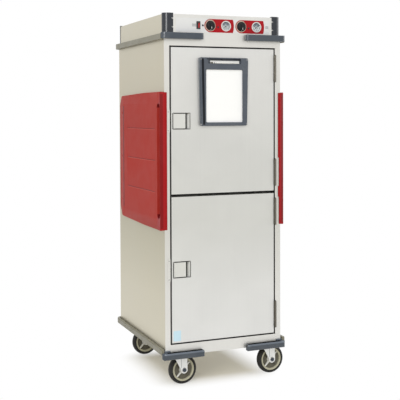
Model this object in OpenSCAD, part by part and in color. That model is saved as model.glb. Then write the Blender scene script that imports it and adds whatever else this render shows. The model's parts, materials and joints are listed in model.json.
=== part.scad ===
// Two-door heated proofing cabinet on swivel casters: an insulated steel body with moulded side
// panels, corner bumpers and wrap-round rails, a control fascia above two stacked doors, and a
// heater, fan and pan racks in each cavity.
// Millimetres. X runs across the front, Y towards the back, Z up from the floor; the origin is on
// the floor under the middle of the body.

/* [Body] */
// Width of the insulated body
body_w = 650; // [640:1:680]
// Depth of the insulated body
body_d = 764; // [740:1:800]
// Height of the body's underside over the floor
under_z = 172; // [172:1:180]
// Height of the joint between the body and the top housing
shell_z = 1774; // [1760:1:1800]
// Height of the top housing, up to its roof
housing_h = 126; // [116:1:156]
// Outer sheet thickness
sheet = 1.2; // [0.8:0.1:1.5]
// Thickness of the front frame's and the top housing's sheet
frame_sheet = 1.5; // [1:0.1:2]
// Thickness of the insulated walls at the back
wall = 45; // [40:1:60]
// Thickness of the base pan
pan_t = 3; // [2:0.5:4]
// Height of the base frame's cross channels
channel_h = 30; // [20:1:40]
// Width of the base frame's cross channels
channel_w = 90; // [80:1:100]

/* [Doorway] */
// Left edge of the doorway, from the middle
doorway_left = -297; // [-300:1:-290]
// Right edge of the doorway, from the middle
doorway_right = 299; // [292:1:302]
// Bottom edge of the doorway
doorway_z = 229; // [225:1:240]
// Height of the frame over the doorway
header_h = 33; // [28:1:45]
// Depth from the front to the face that the gaskets seal on
rebate = 50; // [48:1:56]
// Width of the face that the gaskets seal on
seal_w = 19; // [18:1:24]
// Height of the divider between the cavities
divider_h = 40; // [36:1:60]

/* [Doors] */
// Left edge of the doors
door_left = -290; // [-292:1:-286]
// Right edge of the doors, where the hinges are
door_right = 288; // [284:1:290]
// Thickness of a door
door_t = 44; // [40:1:46]
// Gap above, below and between the doors
door_gap = 6; // [4:1:8]
// Depth of the edge that the skin returns round a door
skin_return = 38; // [30:1:40]
// Width of the door gasket
gasket_w = 8; // [7:0.5:9]
// Space left between a closed gasket and the frame
gasket_gap = 0.3; // [0.1:0.1:1]
// Height of the raised panel inside a door
emboss = 3; // [1:0.5:4]
// Margin round the raised panel inside a door
emboss_margin = 32; // [28:1:60]

/* [Hinges] */
// Distance of the hinge pin in front of the doors' face
pin_out = 6; // [6:0.5:8]
// Radius of the hinge knuckles
knuckle_r = 5.5; // [5:0.1:6]
// Radius of the hinge pin
pin_r = 3; // [2:0.1:3.5]
// Thickness of a hinge leaf
leaf_t = 2; // [1.5:0.1:2.5]
// Depth of a hinge leaf
leaf_d = 32; // [20:1:40]
// Height of a hinge
hinge_h = 137; // [100:1:150]
// Distance of a hinge from the end of its door
hinge_inset = 32; // [20:1:60]
// Gap between neighbouring knuckles
knuckle_gap = 0.5; // [0.3:0.1:1]
// Radial play of every pin and shaft in its hole
pin_play = 0.05; // [0.02:0.01:0.1]

/* [Latches] */
// Left edge of the latch escutcheon
latch_left = -281; // [-284:1:-270]
// Width of the latch escutcheon
latch_w = 95; // [90:1:110]
// Height of the latch escutcheon
latch_h = 83; // [80:1:90]
// Depth of the latch pocket behind the doors' face
pocket_d = 24; // [22:1:30]
// Thickness of the latch cup
cup_t = 1.5; // [1:0.1:2]
// Width of the latch paddle
paddle_w = 60; // [55:1:64]
// Height of the latch paddle
paddle_h = 74; // [60:1:75]
// Thickness of the latch paddle
paddle_t = 3; // [2:0.5:3.5]
// Length of the crank arm behind the paddle
crank_r = 9; // [9:0.5:10]
// Height of the latch bolt
bolt_h = 20; // [16:1:24]
// Depth of the latch bolt
bolt_d = 10; // [8:1:11]
// How far the bolt stands out of the door's edge
bolt_out = 5; // [3:0.5:5]
// Height of the strike plate
strike_h = 115; // [100:1:125]
// Width of the strike plate
strike_w = 14; // [12:1:16]

/* [Document holder] */
// Width of the holder at its top
holder_top_w = 272; // [270:1:290]
// Width of the holder at its bottom
holder_bottom_w = 258; // [250:1:270]
// Middle of the holder, across the door
holder_x = -5; // [-20:1:20]
// Distance of the holder from the top of the upper door
holder_drop = 51; // [40:1:80]
// Height of the holder
holder_h = 348; // [345:1:360]
// How far the holder stands out of the door
holder_d = 20; // [18:1:24]
// Width of the holder's window
window_w = 203; // [180:1:210]
// Height of the holder's window
window_h = 269; // [240:1:270]
// Width of the pen trough
trough_w = 184; // [180:1:200]
// Height of the pen trough
trough_h = 21; // [18:1:22]
// Length of the pen
pen_l = 168; // [140:1:172]
// Radius of the pen
pen_r = 4.5; // [3.5:0.1:4.5]

/* [Controls] */
// Width of the control fascia
fascia_w = 520; // [515:1:540]
// Height of the control fascia
fascia_h = 70; // [66:1:76]
// Height of the middle of the controls over the housing's foot
controls_up = 73; // [70:1:76]
// Distance between the two zones' controls
zone_pitch = 173; // [170:1:176]
// Place of the first knob, from the middle
knob_x = -73.5; // [-80:0.5:-70]
// Radius of a knob's skirt
knob_r = 25; // [20:0.5:26]
// Distance from a knob to its thermometer
gauge_offset = 86.5; // [84:0.5:90]
// Radius of a thermometer's bezel
gauge_r = 27; // [25:0.5:28]
// Distance from a knob to its lamp
lamp_offset = 42.5; // [40:0.5:46]
// Radius of a pilot lamp
lamp_r = 4; // [3:0.5:5]
// Place of the rocker switch, from the middle
rocker_x = -139.5; // [-145:0.5:-135]
// Width of the rocker switch's bezel
rocker_w = 21; // [20:0.5:22]
// Height of the rocker switch's bezel
rocker_h = 40; // [40:0.5:44]
// Angle that the rocker tips to each side
rocker_tip = 10; // [8:1:10]

/* [Bumpers and rails] */
// How far the front bumpers stand out
bumper_out = 30; // [20:1:32]
// Distance of a front bumper's inner end from the middle
bumper_inner = 118; // [100:1:140]
// How far a front bumper reaches past the side of the body
bumper_wrap = 20; // [16:1:22]
// Radius of a front bumper's outer corner, seen from above
bumper_corner_r = 22; // [12:1:24]
// Height of the upper bumpers
bumper_h = 32; // [26:1:34]
// Distance of the lower bumpers' foot below the body
low_bumper_drop = 14; // [12:1:16]
// Height of the lower bumpers
low_bumper_h = 34; // [30:1:38]
// Height of the collar that holds a lower bumper at the body's corner
collar_h = 9; // [6:1:16]
// Thickness of the rails
rail_t = 14; // [10:1:14]
// Distance from the body's sides to the rails
rail_gap = 8; // [5:1:8]
// Distance from the body's back to the rear rail
rail_rear_gap = 16; // [10:1:16]
// Outer corner radius of the rails
rail_corner_r = 45; // [30:1:60]
// Distance of the rear stand-off blocks from the middle
rail_block_x = 190; // [150:5:230]
// How far the rails' ends reach past the front of the body
rail_reach = 6; // [4:1:7]
// Distance of the upper rail's foot below the housing
high_rail_drop = 3; // [0:1:6]
// Height of the upper rail
high_rail_h = 29; // [25:1:32]
// Distance of the lower rail's foot above the body's underside
low_rail_up = 10; // [6:1:14]
// Height of the lower rail
low_rail_h = 28; // [20:1:30]
// How far the corner posts stand out
post_out = 1.5; // [1:0.5:3]
// Corner radius of the top housing, under the posts
housing_r = 26; // [20:1:28]
// Length of a corner post's flange along the front
post_front = 50; // [45:1:60]
// Length of a corner post's flange along the side
post_side = 30; // [30:1:40]
// Height of the corner posts' caps over the roof
post_cap = 5; // [3:0.5:8]

/* [Side panels] */
// Bottom edge of the side panels
panel_z = 811; // [800:1:830]
// Height of the side panels
panel_h = 698; // [650:1:700]
// How far the side panels stand out
panel_out = 22; // [18:1:24]
// Wall thickness of the side panels
panel_t = 4; // [3:0.5:5]
// Width of the lip that a side panel wraps over the front
lip_w = 13; // [10:1:14]
// Thickness of the lip
lip_t = 4; // [3:0.5:4.5]
// Start of the grip recess, behind the front
grip_y = 8; // [7:1:12]
// Width of the grip recess
grip_w = 42; // [38:1:46]
// Depth of the grip recess
grip_d = 15; // [10:1:16]
// Distance from the grip recess to the panel's ends
grip_end = 58; // [50:1:80]
// Distance from the front to the start of the rear bevel
bevel_start = 628; // [600:1:640]
// Distance from the front to the rear edge of a panel
panel_l = 735; // [720:1:738]
// Distance of the upper and lower panel screws from the panel's ends
panel_screw_inset = 105; // [95:5:130]
// Thickness of a panel's rear edge
panel_edge = 6; // [4:0.5:8]
// Radius of a panel's rear corners
panel_corner_r = 72; // [60:1:80]
// How far a panel's upper and lower margins fall away at its edge
panel_fall = 2.5; // [1:0.5:3]
// Distance behind the front from which a panel's upper and lower edges taper
taper_start = 250; // [200:1:300]
// How much each of those edges has tapered at the rear
panel_taper = 12; // [8:1:16]

/* [Racks and heaters] */
// Width of the cavities
cavity_w = 556; // [540:1:560]
// Number of pan slides on each side of a cavity
slide_count = 6; // [3:1:6]
// Distance between pan slides
slide_pitch = 90; // [60:1:92]
// Height of the lowest pan slide over the cavity's floor
slide_first = 125; // [110:1:130]
// Distance between the pan slides' inner edges
slide_span = 410; // [400:1:430]
// Width of a pan slide
slide_w = 31; // [25:1:35]
// Width of the heater covers
heater_w = 380; // [340:1:390]
// Depth of the heater covers
heater_d = 370; // [360:1:380]
// Height of the heater covers
heater_h = 85; // [80:1:95]
// Radius of the fans
fan_r = 56; // [45:1:58]
// Number of fan blades
fan_blades = 5; // [3:1:7]
// Radius of the heating elements
element_r = 4; // [3:0.5:5]

/* [Casters] */
// Radius of the caster wheels
wheel_r = 76; // [70:1:76]
// Width of the caster tyres
tyre_w = 36; // [30:1:38]
// Radius of the wheel under the tyre
rim_r = 60; // [55:1:62]
// Distance of the caster swivels from the middle, across
swivel_x = 253; // [240:1:260]
// Distance of the caster swivels from the middle, front to back
swivel_y = 303; // [290:1:310]
// Distance that the wheels trail behind their swivels
trail = 50; // [45:1:50]
// Angle that the casters are turned to
caster_turn = 4; // [0:1:359]
// Radius of the wheel axles
axle_r = 6; // [5:0.5:8]
// Radius of the kingpins
kingpin_r = 6; // [5:0.5:8]
// Distance between a caster plate's holes, across
plate_pitch_x = 92; // [85:1:95]
// Distance between a caster plate's holes, front to back
plate_pitch_y = 72; // [65:1:76]
// Radius of a caster plate's holes
plate_hole_r = 5; // [4:0.5:6]

/* [Hidden] */
$fn = 48;

// Far past a face, so that a cut leaves no skin behind
over = 1;
// Space between a moving piece and the piece round it
clear = 0.3;
// Space between two pieces of one body that seat on each other but come apart
seat = 0.1;

side = body_w / 2;
front = -body_d / 2;
back = body_d / 2;
roof_z = shell_z + housing_h;
seal_y = front + rebate;
frame_back = front + frame_sheet;
cavity_x = cavity_w / 2;
cavity_back = back - wall;
doorway_top = shell_z - header_h;
split_z = (doorway_z + doorway_top) / 2;
lower_floor = doorway_z + seal_w;
lower_ceiling = split_z - divider_h / 2;
upper_floor = split_z + divider_h / 2;
upper_ceiling = doorway_top - seal_w;

lower_door = [doorway_z + door_gap, split_z - door_gap / 2];
upper_door = [split_z + door_gap / 2, doorway_top - door_gap];
door_back = front + door_t;
liner_flange = 12;

pin_x = (door_right + doorway_right) / 2;
pin_y = front - pin_out;
knuckle_h = (hinge_h - 4 * knuckle_gap) / 5;

latch_right = latch_left + latch_w;
pocket_left = latch_left + 5;
pocket_right = latch_right - 5;
pocket_h = latch_h - 5;
pocket_floor_y = front + pocket_d;
// The pocket's right wall slopes, so that fingers reach behind the paddle
pocket_slope = 16;
crank_x = pocket_left + 4;
crank_y = front + 2;
paddle_barrel_r = 3.5;
paddle_pin_r = 2;
bolt_y = crank_y + 5;
bolt_end = crank_x + 10;
strike_t = 1;
strike_d = 24;

holder_z = upper_door[1] - holder_drop - holder_h;
holder_front = front - holder_d;
// The window and the trough lie a little right of the middle, because the slot opens to the left
window_x = holder_x + 1;
window_z = holder_z + 18;
trough_x = holder_x + 3;
trough_z = holder_z + holder_h - 31;
trough_d = 12;
sheet_slot = 3;
sheet_slot_y = holder_front + sheet_slot;
sheet_w = 216;
sheet_h = 279;
sheet_t = 0.4;
sheet_z = window_z - 9;
backing_t = 2.5;

controls_z = shell_z + controls_up;
fascia_t = 1.2;
fascia_front = front - fascia_t;
bushing_r = 5;
shaft_r = 3;
thermostat_w = 44;
thermostat_h = 48;
thermostat_d = 35;
shaft_depth = 19;
gauge_body_r = gauge_r - 1.5;
gauge_bore_r = gauge_r - 3.5;
gauge_depth = 22;
bezel_t = 4;
dial_y = fascia_front + 3;
knob_xs = [knob_x, knob_x + zone_pitch];
gauge_xs = [knob_x + gauge_offset, knob_x + gauge_offset + zone_pitch];
lamp_drop = 7;
lamps = [
    [knob_x - lamp_offset + 1, controls_z],
    [knob_x + lamp_offset, controls_z - lamp_drop],
    [knob_x + lamp_offset + zone_pitch, controls_z - lamp_drop]
];
rocker_pivot_y = front;
rocker_bore_h = rocker_h - 7;
rocker_bore_w = rocker_w - 6;

inlet_x = -200;
inlet_z = controls_z - 2;
inlet_w = 50;
inlet_h = 30;
inlet_d = 35;
inlet_edge = 10;
socket_w = 30;
socket_h = 20;
socket_d = 20;
vent_count = 10;
vent_pitch = 18;
vent_w = 8;
vent_x = 60;
vent_edge = 40;

high_rail_z = shell_z - high_rail_drop;
low_rail_z = under_z + low_rail_up;
low_bumper_z = under_z - low_bumper_drop;
low_bumper_top = low_bumper_z + low_bumper_h;
rail_front = front - rail_reach;

panel_top = panel_z + panel_h;
hinge_spans = [
    [lower_door[0] + hinge_inset, lower_door[1] - hinge_inset - hinge_h],
    [upper_door[0] + hinge_inset, upper_door[1] - hinge_inset - hinge_h]
];

// Heights along the hinged edge that hold no hinge
hinge_clear = 4;
hinge_gaps = [
    [doorway_z + over, hinge_spans[0][0] - hinge_clear],
    [hinge_spans[0][0] + hinge_h + hinge_clear, hinge_spans[0][1] - hinge_clear],
    [hinge_spans[0][1] + hinge_h + hinge_clear, hinge_spans[1][0] - hinge_clear],
    [hinge_spans[1][0] + hinge_h + hinge_clear, hinge_spans[1][1] - hinge_clear],
    [hinge_spans[1][1] + hinge_h + hinge_clear, doorway_top - over]
];

plate_t = 4;
race_z = under_z - plate_t - 6;
yoke_z = wheel_r * 2 + 4;
yoke_t = 3.5;
leg_in = tyre_w / 2 + 6;
leg_t = 3.5;

fan_y = 200;
fan_rise = 38;
fan_shaft_r = 4;
hub_r = 14;
hub_h = 20;
motor_flange_r = 46;
motor_r = 34;
motor_h = 34;
element_reach = 120;
element_rise = 34;
element_pitch = 32;
element_rows = 4;
element_y = 10;
rack_y = 240;
rack_w = 24;
rack_t = 1.5;
slide_lip = 22;

// ---------------------------------------------------------------- shapes used by several parts

// Box between two corners
module slab(x0, y0, z0, x1, y1, z1) {
    translate([x0, y0, z0]) cube([x1 - x0, y1 - y0, z1 - z0]);
}

// Flat outline in X and Z, made solid from y0 to y1
module upright(y0, y1) {
    translate([0, y1, 0]) rotate([90, 0, 0]) linear_extrude(y1 - y0) children();
}

// Flat outline in Y and Z, made solid from x0 to x1
module sideways(x0, x1) {
    translate([x0, 0, 0]) rotate([90, 0, 90]) linear_extrude(x1 - x0) children();
}

// Cylinder along Y from y0 to y1, about the point (x, z)
module rod_y(x, z, y0, y1, r) {
    translate([x, y1, z]) rotate([90, 0, 0]) cylinder(h = y1 - y0, r = r);
}

// Cylinder along X from x0 to x1, about the point (y, z)
module rod_x(y, z, x0, x1, r) {
    translate([x0, y, z]) rotate([0, 90, 0]) cylinder(h = x1 - x0, r = r);
}

module rect(x0, y0, x1, y1) {
    translate([x0, y0]) square([x1 - x0, y1 - y0]);
}

module round_rect(x0, y0, x1, y1, r) {
    rect(x0 + r, y0, x1 - r, y1);
    rect(x0, y0 + r, x1, y1 - r);
    for (x = [x0 + r, x1 - r], y = [y0 + r, y1 - r]) translate([x, y]) circle(r);
}

function unit(v) = v / norm(v);

function turned(v, a) = [v.x * cos(a) - v.y * sin(a), v.x * sin(a) + v.y * cos(a)];

// The corner at p, between its neighbours a and b, as an arc of radius r
function fillet(p, a, b, r, n) =
    let (
        u = unit(a - p),
        v = unit(b - p),
        half = acos(u * v) / 2,
        c = p + unit(u + v) * r / sin(half),
        s = p + u * r / tan(half) - c,
        turn = (cross(u, v) > 0 ? -1 : 1) * (180 - 2 * half) / n
    )
    [for (i = [0:n]) c + turned(s, turn * i)];

// Outline with every corner rounded to the radius given beside it: [[x, y], r]
function rounded(corners, n = 8) =
    let (m = len(corners))
    [for (i = [0:m - 1])
        each (corners[i][1] == 0
            ? [corners[i][0]]
            : fillet(corners[i][0], corners[(i + m - 1) % m][0], corners[(i + 1) % m][0], corners[i][1], n))];

module mirrored_x() {
    children();
    mirror([1, 0, 0]) children();
}

module mirrored_y() {
    children();
    mirror([0, 1, 0]) children();
}

// ---------------------------------------------------------------- body

module outer_shell() color("#c4bfb1") {
    z0 = under_z + pan_t;
    difference() {
        slab(-side, frame_back, z0, side, back, shell_z);
        slab(-side + sheet, frame_back - over, z0 - over, side - sheet, back - sheet, shell_z + over);
    }
    // Returns behind the front frame, which the frame is riveted to
    mirrored_x() slab(side - 12, frame_back, z0, side, frame_back + sheet, shell_z);
}

module caster_holes(z0, z1) {
    for (x = [-swivel_x, swivel_x], y = [-swivel_y, swivel_y])
        for (dx = [-plate_pitch_x / 2, plate_pitch_x / 2], dy = [-plate_pitch_y / 2, plate_pitch_y / 2])
            translate([x + dx, y + dy, z0]) cylinder(h = z1 - z0, r = plate_hole_r);
}

module base_frame() color("#b9b7ad") difference() {
    union() {
        slab(-side, frame_back, under_z, side, back, under_z + pan_t);
        // Two hat channels carry the casters' load across the base
        mirrored_y() difference() {
            z1 = under_z + pan_t + channel_h;
            x1 = side - sheet;
            y0 = swivel_y - channel_w / 2;
            y1 = min(swivel_y + channel_w / 2, back - sheet - pan_t);
            slab(-x1, y0, under_z + pan_t, x1, y1, z1);
            slab(-x1 - over, y0 + pan_t, under_z + pan_t - over, x1 + over, y1 - pan_t, z1 - pan_t);
        }
    }
    caster_holes(under_z - over, under_z + pan_t + over);
}

module insulation() color("#e6dcae") difference() {
    slab(-side + sheet, frame_back + sheet, under_z + pan_t + channel_h, side - sheet, back - sheet, shell_z);
    for (z = [[lower_floor, lower_ceiling], [upper_floor, upper_ceiling]])
        slab(-cavity_x - sheet, front, z[0] - sheet, cavity_x + sheet, cavity_back + sheet, z[1] + sheet);
    slab(
        doorway_left - frame_sheet, front, doorway_z - frame_sheet,
        doorway_right + frame_sheet, seal_y + frame_sheet, doorway_top + frame_sheet
    );
}

// Flange round the doorway, in four strips that meet at the corners of the doorway
module front_frame() color("#dad9d5") {
    slab(-side, front, under_z, doorway_left, frame_back, shell_z);
    slab(doorway_right, front, under_z, side, frame_back, shell_z);
    // Between the hinges the sheet comes closer to the doors
    for (span = hinge_gaps)
        slab(door_right + door_gap, front, span[0], doorway_right + over, frame_back, span[1]);
    slab(doorway_left + seat, front, under_z, doorway_right - seat, frame_back, doorway_z);
    slab(doorway_left + seat, front, doorway_top, doorway_right - seat, frame_back, shell_z);
}

// Moulded strips that keep the warm liners off the outer sheet: four line the doorway, and five more
// make the face that the gaskets seal on
module thermal_break() color("#2b2a28") {
    y0 = frame_back + seat;
    y1 = seal_y + frame_sheet;
    z0 = doorway_z - frame_sheet;
    z1 = doorway_top + frame_sheet;
    x0 = doorway_left + seat;
    x1 = doorway_right - seat;
    slab(doorway_left - frame_sheet, y0, z0, doorway_left, y1, z1);
    slab(doorway_right, y0, z0, doorway_right + frame_sheet, y1, z1);
    for (z = [z0, doorway_top]) slab(x0, y0, z, x1, y1, z + frame_sheet);
    low = doorway_z + seat;
    high = doorway_top - seat;
    for (x = [[x0, -cavity_x], [cavity_x, x1]]) slab(x[0], seal_y, low, x[1], y1, high);
    for (z = [[low, lower_floor], [lower_ceiling, upper_floor], [upper_ceiling, high]])
        slab(seat - cavity_x, seal_y, z[0], cavity_x - seat, y1, z[1]);
}

// Lining of a cavity, open at the front
module liner(z0, z1) difference() {
    y0 = seal_y + frame_sheet;
    slab(-cavity_x - sheet, y0, z0 - sheet, cavity_x + sheet, cavity_back + sheet, z1 + sheet);
    slab(-cavity_x, y0 - over, z0, cavity_x, cavity_back, z1);
}

module cavity_liners() color("#d6d4cc") {
    liner(upper_floor, upper_ceiling);
    liner(lower_floor, lower_ceiling);
}

// Holes for the controls; grow is the space round each
module control_cuts(grow = 0) {
    for (x = knob_xs) translate([x, controls_z]) circle(bushing_r + grow);
    for (x = gauge_xs) translate([x, controls_z]) circle(gauge_body_r + grow);
    for (p = lamps) translate(p) circle(lamp_r + grow);
    translate([rocker_x, controls_z])
        square([rocker_w - 2 + 2 * grow, rocker_h - 2 + 2 * grow], center = true);
}

// Plan of the top housing, drawn in by d all round
module housing_plan(d = 0) round_rect(d - side, front + d, side - d, back - d, housing_r - d);

module top_housing() color("#ccc9bc") difference() {
    translate([0, 0, shell_z]) linear_extrude(housing_h) housing_plan();
    translate([0, 0, shell_z - over])
        linear_extrude(housing_h + over - frame_sheet) housing_plan(frame_sheet);
    upright(front - over, frame_back + over) control_cuts(seat);
    upright(back - frame_sheet - over, back + over) {
        translate([inlet_x, inlet_z]) square([inlet_w + 2 * clear, inlet_h + 2 * clear], center = true);
        // Air slots for the control space
        for (i = [0:vent_count - 1])
            rect(
                vent_x + i * vent_pitch, shell_z + vent_edge,
                vent_x + i * vent_pitch + vent_w, roof_z - vent_edge
            );
    }
}

module power_inlet() color("#2c2c2a") {
    flange_t = 2;
    flange_w = inlet_w / 2 + inlet_edge;
    flange_h = inlet_h / 2 + 7;
    difference() {
        union() {
            upright(back, back + flange_t)
                round_rect(inlet_x - flange_w, inlet_z - flange_h, inlet_x + flange_w, inlet_z + flange_h, 4);
            slab(
                inlet_x - inlet_w / 2, back - inlet_d, inlet_z - inlet_h / 2,
                inlet_x + inlet_w / 2, back, inlet_z + inlet_h / 2
            );
        }
        slab(
            inlet_x - socket_w / 2, back - socket_d, inlet_z - socket_h / 2,
            inlet_x + socket_w / 2, back + flange_t + over, inlet_z + socket_h / 2
        );
    }
    // Flat contact pins inside the socket
    for (x = [-8, 0, 8])
        slab(inlet_x + x - 1, back - socket_d, inlet_z - 3, inlet_x + x + 1, back - 6, inlet_z + 3);
}

// ---------------------------------------------------------------- controls

module fascia_panel() color("#bdbbb2") upright(fascia_front, front) difference() {
    round_rect(-fascia_w / 2, controls_z - fascia_h / 2, fascia_w / 2, controls_z + fascia_h / 2, 3);
    control_cuts(seat);
}

module thermostats() color("#8d8f90") for (x = knob_xs) difference() {
    union() {
        slab(
            x - thermostat_w / 2, frame_back, controls_z - thermostat_h / 2,
            x + thermostat_w / 2, frame_back + thermostat_d, controls_z + thermostat_h / 2
        );
        rod_y(x, controls_z, fascia_front - clear, frame_back, bushing_r);
    }
    rod_y(x, controls_z, fascia_front - over, frame_back + shaft_depth + 1, shaft_r + pin_play);
}

// Knob with a low skirt, a finger bar and its own shaft
module knob(x) {
    y0 = fascia_front - 1;
    skirt_t = 5;
    body_t = 12;
    bar_w = 10;
    rod_y(x, controls_z, y0 - skirt_t, y0, knob_r);
    rod_y(x, controls_z, y0 - body_t, y0 - skirt_t, knob_r - 6);
    slab(
        x - bar_w / 2, y0 - body_t - 6, controls_z - knob_r + 5,
        x + bar_w / 2, y0 - body_t, controls_z + knob_r - 5
    );
    rod_y(x, controls_z, y0, frame_back + shaft_depth, shaft_r);
}

module upper_knob() color("#23262b") knob(knob_xs[0]);

module lower_knob() color("#23262b") knob(knob_xs[1]);

module pilot_lamps() color("#4a1c1c") for (p = lamps) {
    rod_y(p.x, p.y, fascia_front - 2.5, fascia_front, lamp_r + 1);
    rod_y(p.x, p.y, fascia_front, front + 14, lamp_r);
}

module rocker_bezel() color("#1f1f20") difference() {
    depth = 14;
    union() {
        upright(fascia_front - 2, fascia_front)
            round_rect(
                rocker_x - rocker_w / 2, controls_z - rocker_h / 2,
                rocker_x + rocker_w / 2, controls_z + rocker_h / 2, 2
            );
        slab(
            rocker_x - rocker_w / 2 + 1, fascia_front, controls_z - rocker_h / 2 + 1,
            rocker_x + rocker_w / 2 - 1, front + depth, controls_z + rocker_h / 2 - 1
        );
    }
    slab(
        rocker_x - rocker_bore_w / 2, fascia_front - 2 - over, controls_z - rocker_bore_h / 2,
        rocker_x + rocker_bore_w / 2, front + depth - 2, controls_z + rocker_bore_h / 2
    );
    rod_x(
        rocker_pivot_y, controls_z, rocker_x - rocker_bore_w / 2 - 2,
        rocker_x + rocker_bore_w / 2 + 2, 1.5 + pin_play
    );
}

// V-fronted rocker on two pivot pins, tipped to its ON side
module rocker_switch() color("#b3282a") {
    half_h = rocker_bore_h / 2 - 1.5;
    half_w = rocker_bore_w / 2 - 0.4;
    low = 3;
    translate([0, rocker_pivot_y, controls_z]) rotate([rocker_tip, 0, 0]) {
        sideways(rocker_x - half_w, rocker_x + half_w)
            polygon([
                [-low, 0], [-low - half_h * tan(rocker_tip), half_h], [0, half_h], [4, half_h - 4],
                [4, 4 - half_h], [0, -half_h], [-low - half_h * tan(rocker_tip), -half_h]
            ]);
        rod_x(0, 0, rocker_x - rocker_bore_w / 2 - 1.6, rocker_x + rocker_bore_w / 2 + 1.6, 1.5);
    }
}

module thermometer_cases() color("#c9c8c4") for (x = gauge_xs) difference() {
    union() {
        rod_y(x, controls_z, fascia_front - bezel_t, fascia_front, gauge_r);
        rod_y(x, controls_z, fascia_front, front + gauge_depth, gauge_body_r);
    }
    rod_y(x, controls_z, fascia_front - bezel_t + 1, dial_y, gauge_bore_r);
    rod_y(x, controls_z, fascia_front - bezel_t - over, dial_y, gauge_bore_r - 1.5);
    rod_y(x, controls_z, dial_y - over, dial_y + 7, 1 + pin_play);
}

module thermometer_lenses() color("#dfe8ea", 0.4) for (x = gauge_xs)
    rod_y(x, controls_z, fascia_front - bezel_t + 1, fascia_front - bezel_t + 2, gauge_bore_r - seat);

// Needle that points down to the left at its lowest reading
module needle(x) translate([x, dial_y, controls_z]) rotate([0, -135, 0]) {
    rod_y(0, 0, -2.5, -clear, 2.5);
    rod_y(0, 0, -clear, 6, 1);
    upright(-1.6, -1) polygon([[-1.2, -5], [1.2, -5], [0.4, 16], [-0.4, 16]]);
}

module upper_needle() color("#18181a") needle(gauge_xs[0]);

module lower_needle() color("#18181a") needle(gauge_xs[1]);

// ---------------------------------------------------------------- bumpers, rails and posts

// Plan of the front right bumper: a bar with a round inner end, whose outer end turns the corner and
// meets the front of the side rail
module bumper_plan() {
    end_r = bumper_out / 2;
    end_x = bumper_inner + end_r;
    translate([end_x, front - end_r]) circle(end_r);
    polygon(rounded([
        [[end_x, front - bumper_out], 0],
        [[side + bumper_wrap, front - bumper_out], bumper_corner_r],
        [[side + bumper_wrap, rail_front - clear], 0],
        [[side + rail_gap - clear, rail_front - clear], 0],
        [[side + rail_gap - clear, front], 0],
        [[end_x, front], 0]
    ]));
}

// Bumper from z0 to z1: its plan, rounded below by low and above by high where it is seen from the
// front and from the side
module bumper_bar(z0, z1, low, high) {
    reach = side + bumper_wrap;
    intersection() {
        translate([0, 0, z0]) linear_extrude(z1 - z0) bumper_plan();
        upright(front - bumper_out - over, front + over) polygon(rounded([
            [[bumper_inner, z0], low],
            [[reach, z0], low],
            [[reach, z1], high],
            [[bumper_inner, z1], high]
        ]));
        sideways(bumper_inner - over, reach + over) polygon(rounded([
            [[front - bumper_out, z0], low],
            [[front + over, z0], 0],
            [[front + over, z1], 0],
            [[front - bumper_out, z1], high]
        ]));
    }
}

module upper_bumper() {
    bumper_bar(shell_z, shell_z + bumper_h, 6, 4);
    // Heel that fills the housing's rounded corner
    translate([0, 0, shell_z]) linear_extrude(bumper_h) difference() {
        rect(side - housing_r, front - 3, side + rail_gap - clear, front + housing_r);
        housing_plan();
    }
}

module lower_bumper() {
    groove_w = 13;
    groove_y = front - bumper_out + 7;
    difference() {
        bumper_bar(low_bumper_z, low_bumper_top, 10, 4);
        // Channel along the top, with a rim round it
        translate([0, 0, low_bumper_top - 9]) linear_extrude(9 + over)
            round_rect(
                bumper_inner + 9, groove_y, side - 4, groove_y + groove_w, groove_w / 2 - 0.2
            );
    }
    // Collar round the body's corner
    translate([0, 0, low_bumper_top - 2]) linear_extrude(collar_h + 2) difference() {
        round_rect(side - 26, front - 7, side + 6, front + 24, 4);
        rect(0, front, side, 0);
    }
}

module front_bumpers() color("#575e64") mirrored_x() {
    upper_bumper();
    lower_bumper();
}

// Plan of a rail that wraps the sides and the back, drawn in by d all round
module rail_plan(d = 0) {
    x1 = side + rail_gap + rail_t;
    y1 = back + rail_rear_gap + rail_t;
    r = rail_corner_r;
    far = rail_front - 2 * r;
    difference() {
        round_rect(d - x1, far, x1 - d, y1 - d, r - d);
        round_rect(rail_t - x1 - d, far - r, x1 - rail_t + d, y1 - rail_t + d, r - rail_t + d);
        rect(-x1 - over, far - r, x1 + over, rail_front);
    }
}

module rail(z0, h) {
    edge = 2;
    translate([0, 0, z0]) linear_extrude(edge) rail_plan(edge / 2);
    translate([0, 0, z0 + edge]) linear_extrude(h - 2 * edge) rail_plan();
    translate([0, 0, z0 + h - edge]) linear_extrude(edge) rail_plan(edge / 2);
    // Stand-off blocks screwed to the body
    block = 24;
    inset = 6;
    for (y = [front + 60, 0, back - 60])
        mirrored_x() slab(
            side, y - block / 2, z0 + inset,
            side + rail_gap + over, y + block / 2, z0 + h - inset
        );
    for (x = [-rail_block_x, rail_block_x])
        slab(x - block / 2, back, z0 + inset, x + block / 2, back + rail_rear_gap + over, z0 + h - inset);
}

module bumper_rails() color("#85837a") {
    rail(high_rail_z, high_rail_h);
    rail(low_rail_z, low_rail_h);
}

// Plan of the front right corner post over the housing's corner
module post_plan() {
    x0 = side - post_front;
    y1 = front + post_side;
    polygon(rounded([
        [[x0, front - post_out], 1],
        [[side + post_out, front - post_out], housing_r + post_out],
        [[side + post_out, y1], 1],
        [[side - 16, y1], 4],
        [[x0, front + 22], 4]
    ]));
}

// Corner post at the front right: a rounded angle over the housing's corner, with a cap on the roof
module corner_post(z0) difference() {
    translate([0, 0, z0]) linear_extrude(roof_z + post_cap - z0) post_plan();
    translate([0, 0, z0 - over]) linear_extrude(roof_z - z0 + over) housing_plan();
    // Screw notches in the front flange's edge
    for (z = [roof_z - 22, roof_z - 66])
        slab(
            side - post_front - over, front - post_out - over, z - 3,
            side - post_front + 6, front + over, z + 3
        );
}

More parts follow.
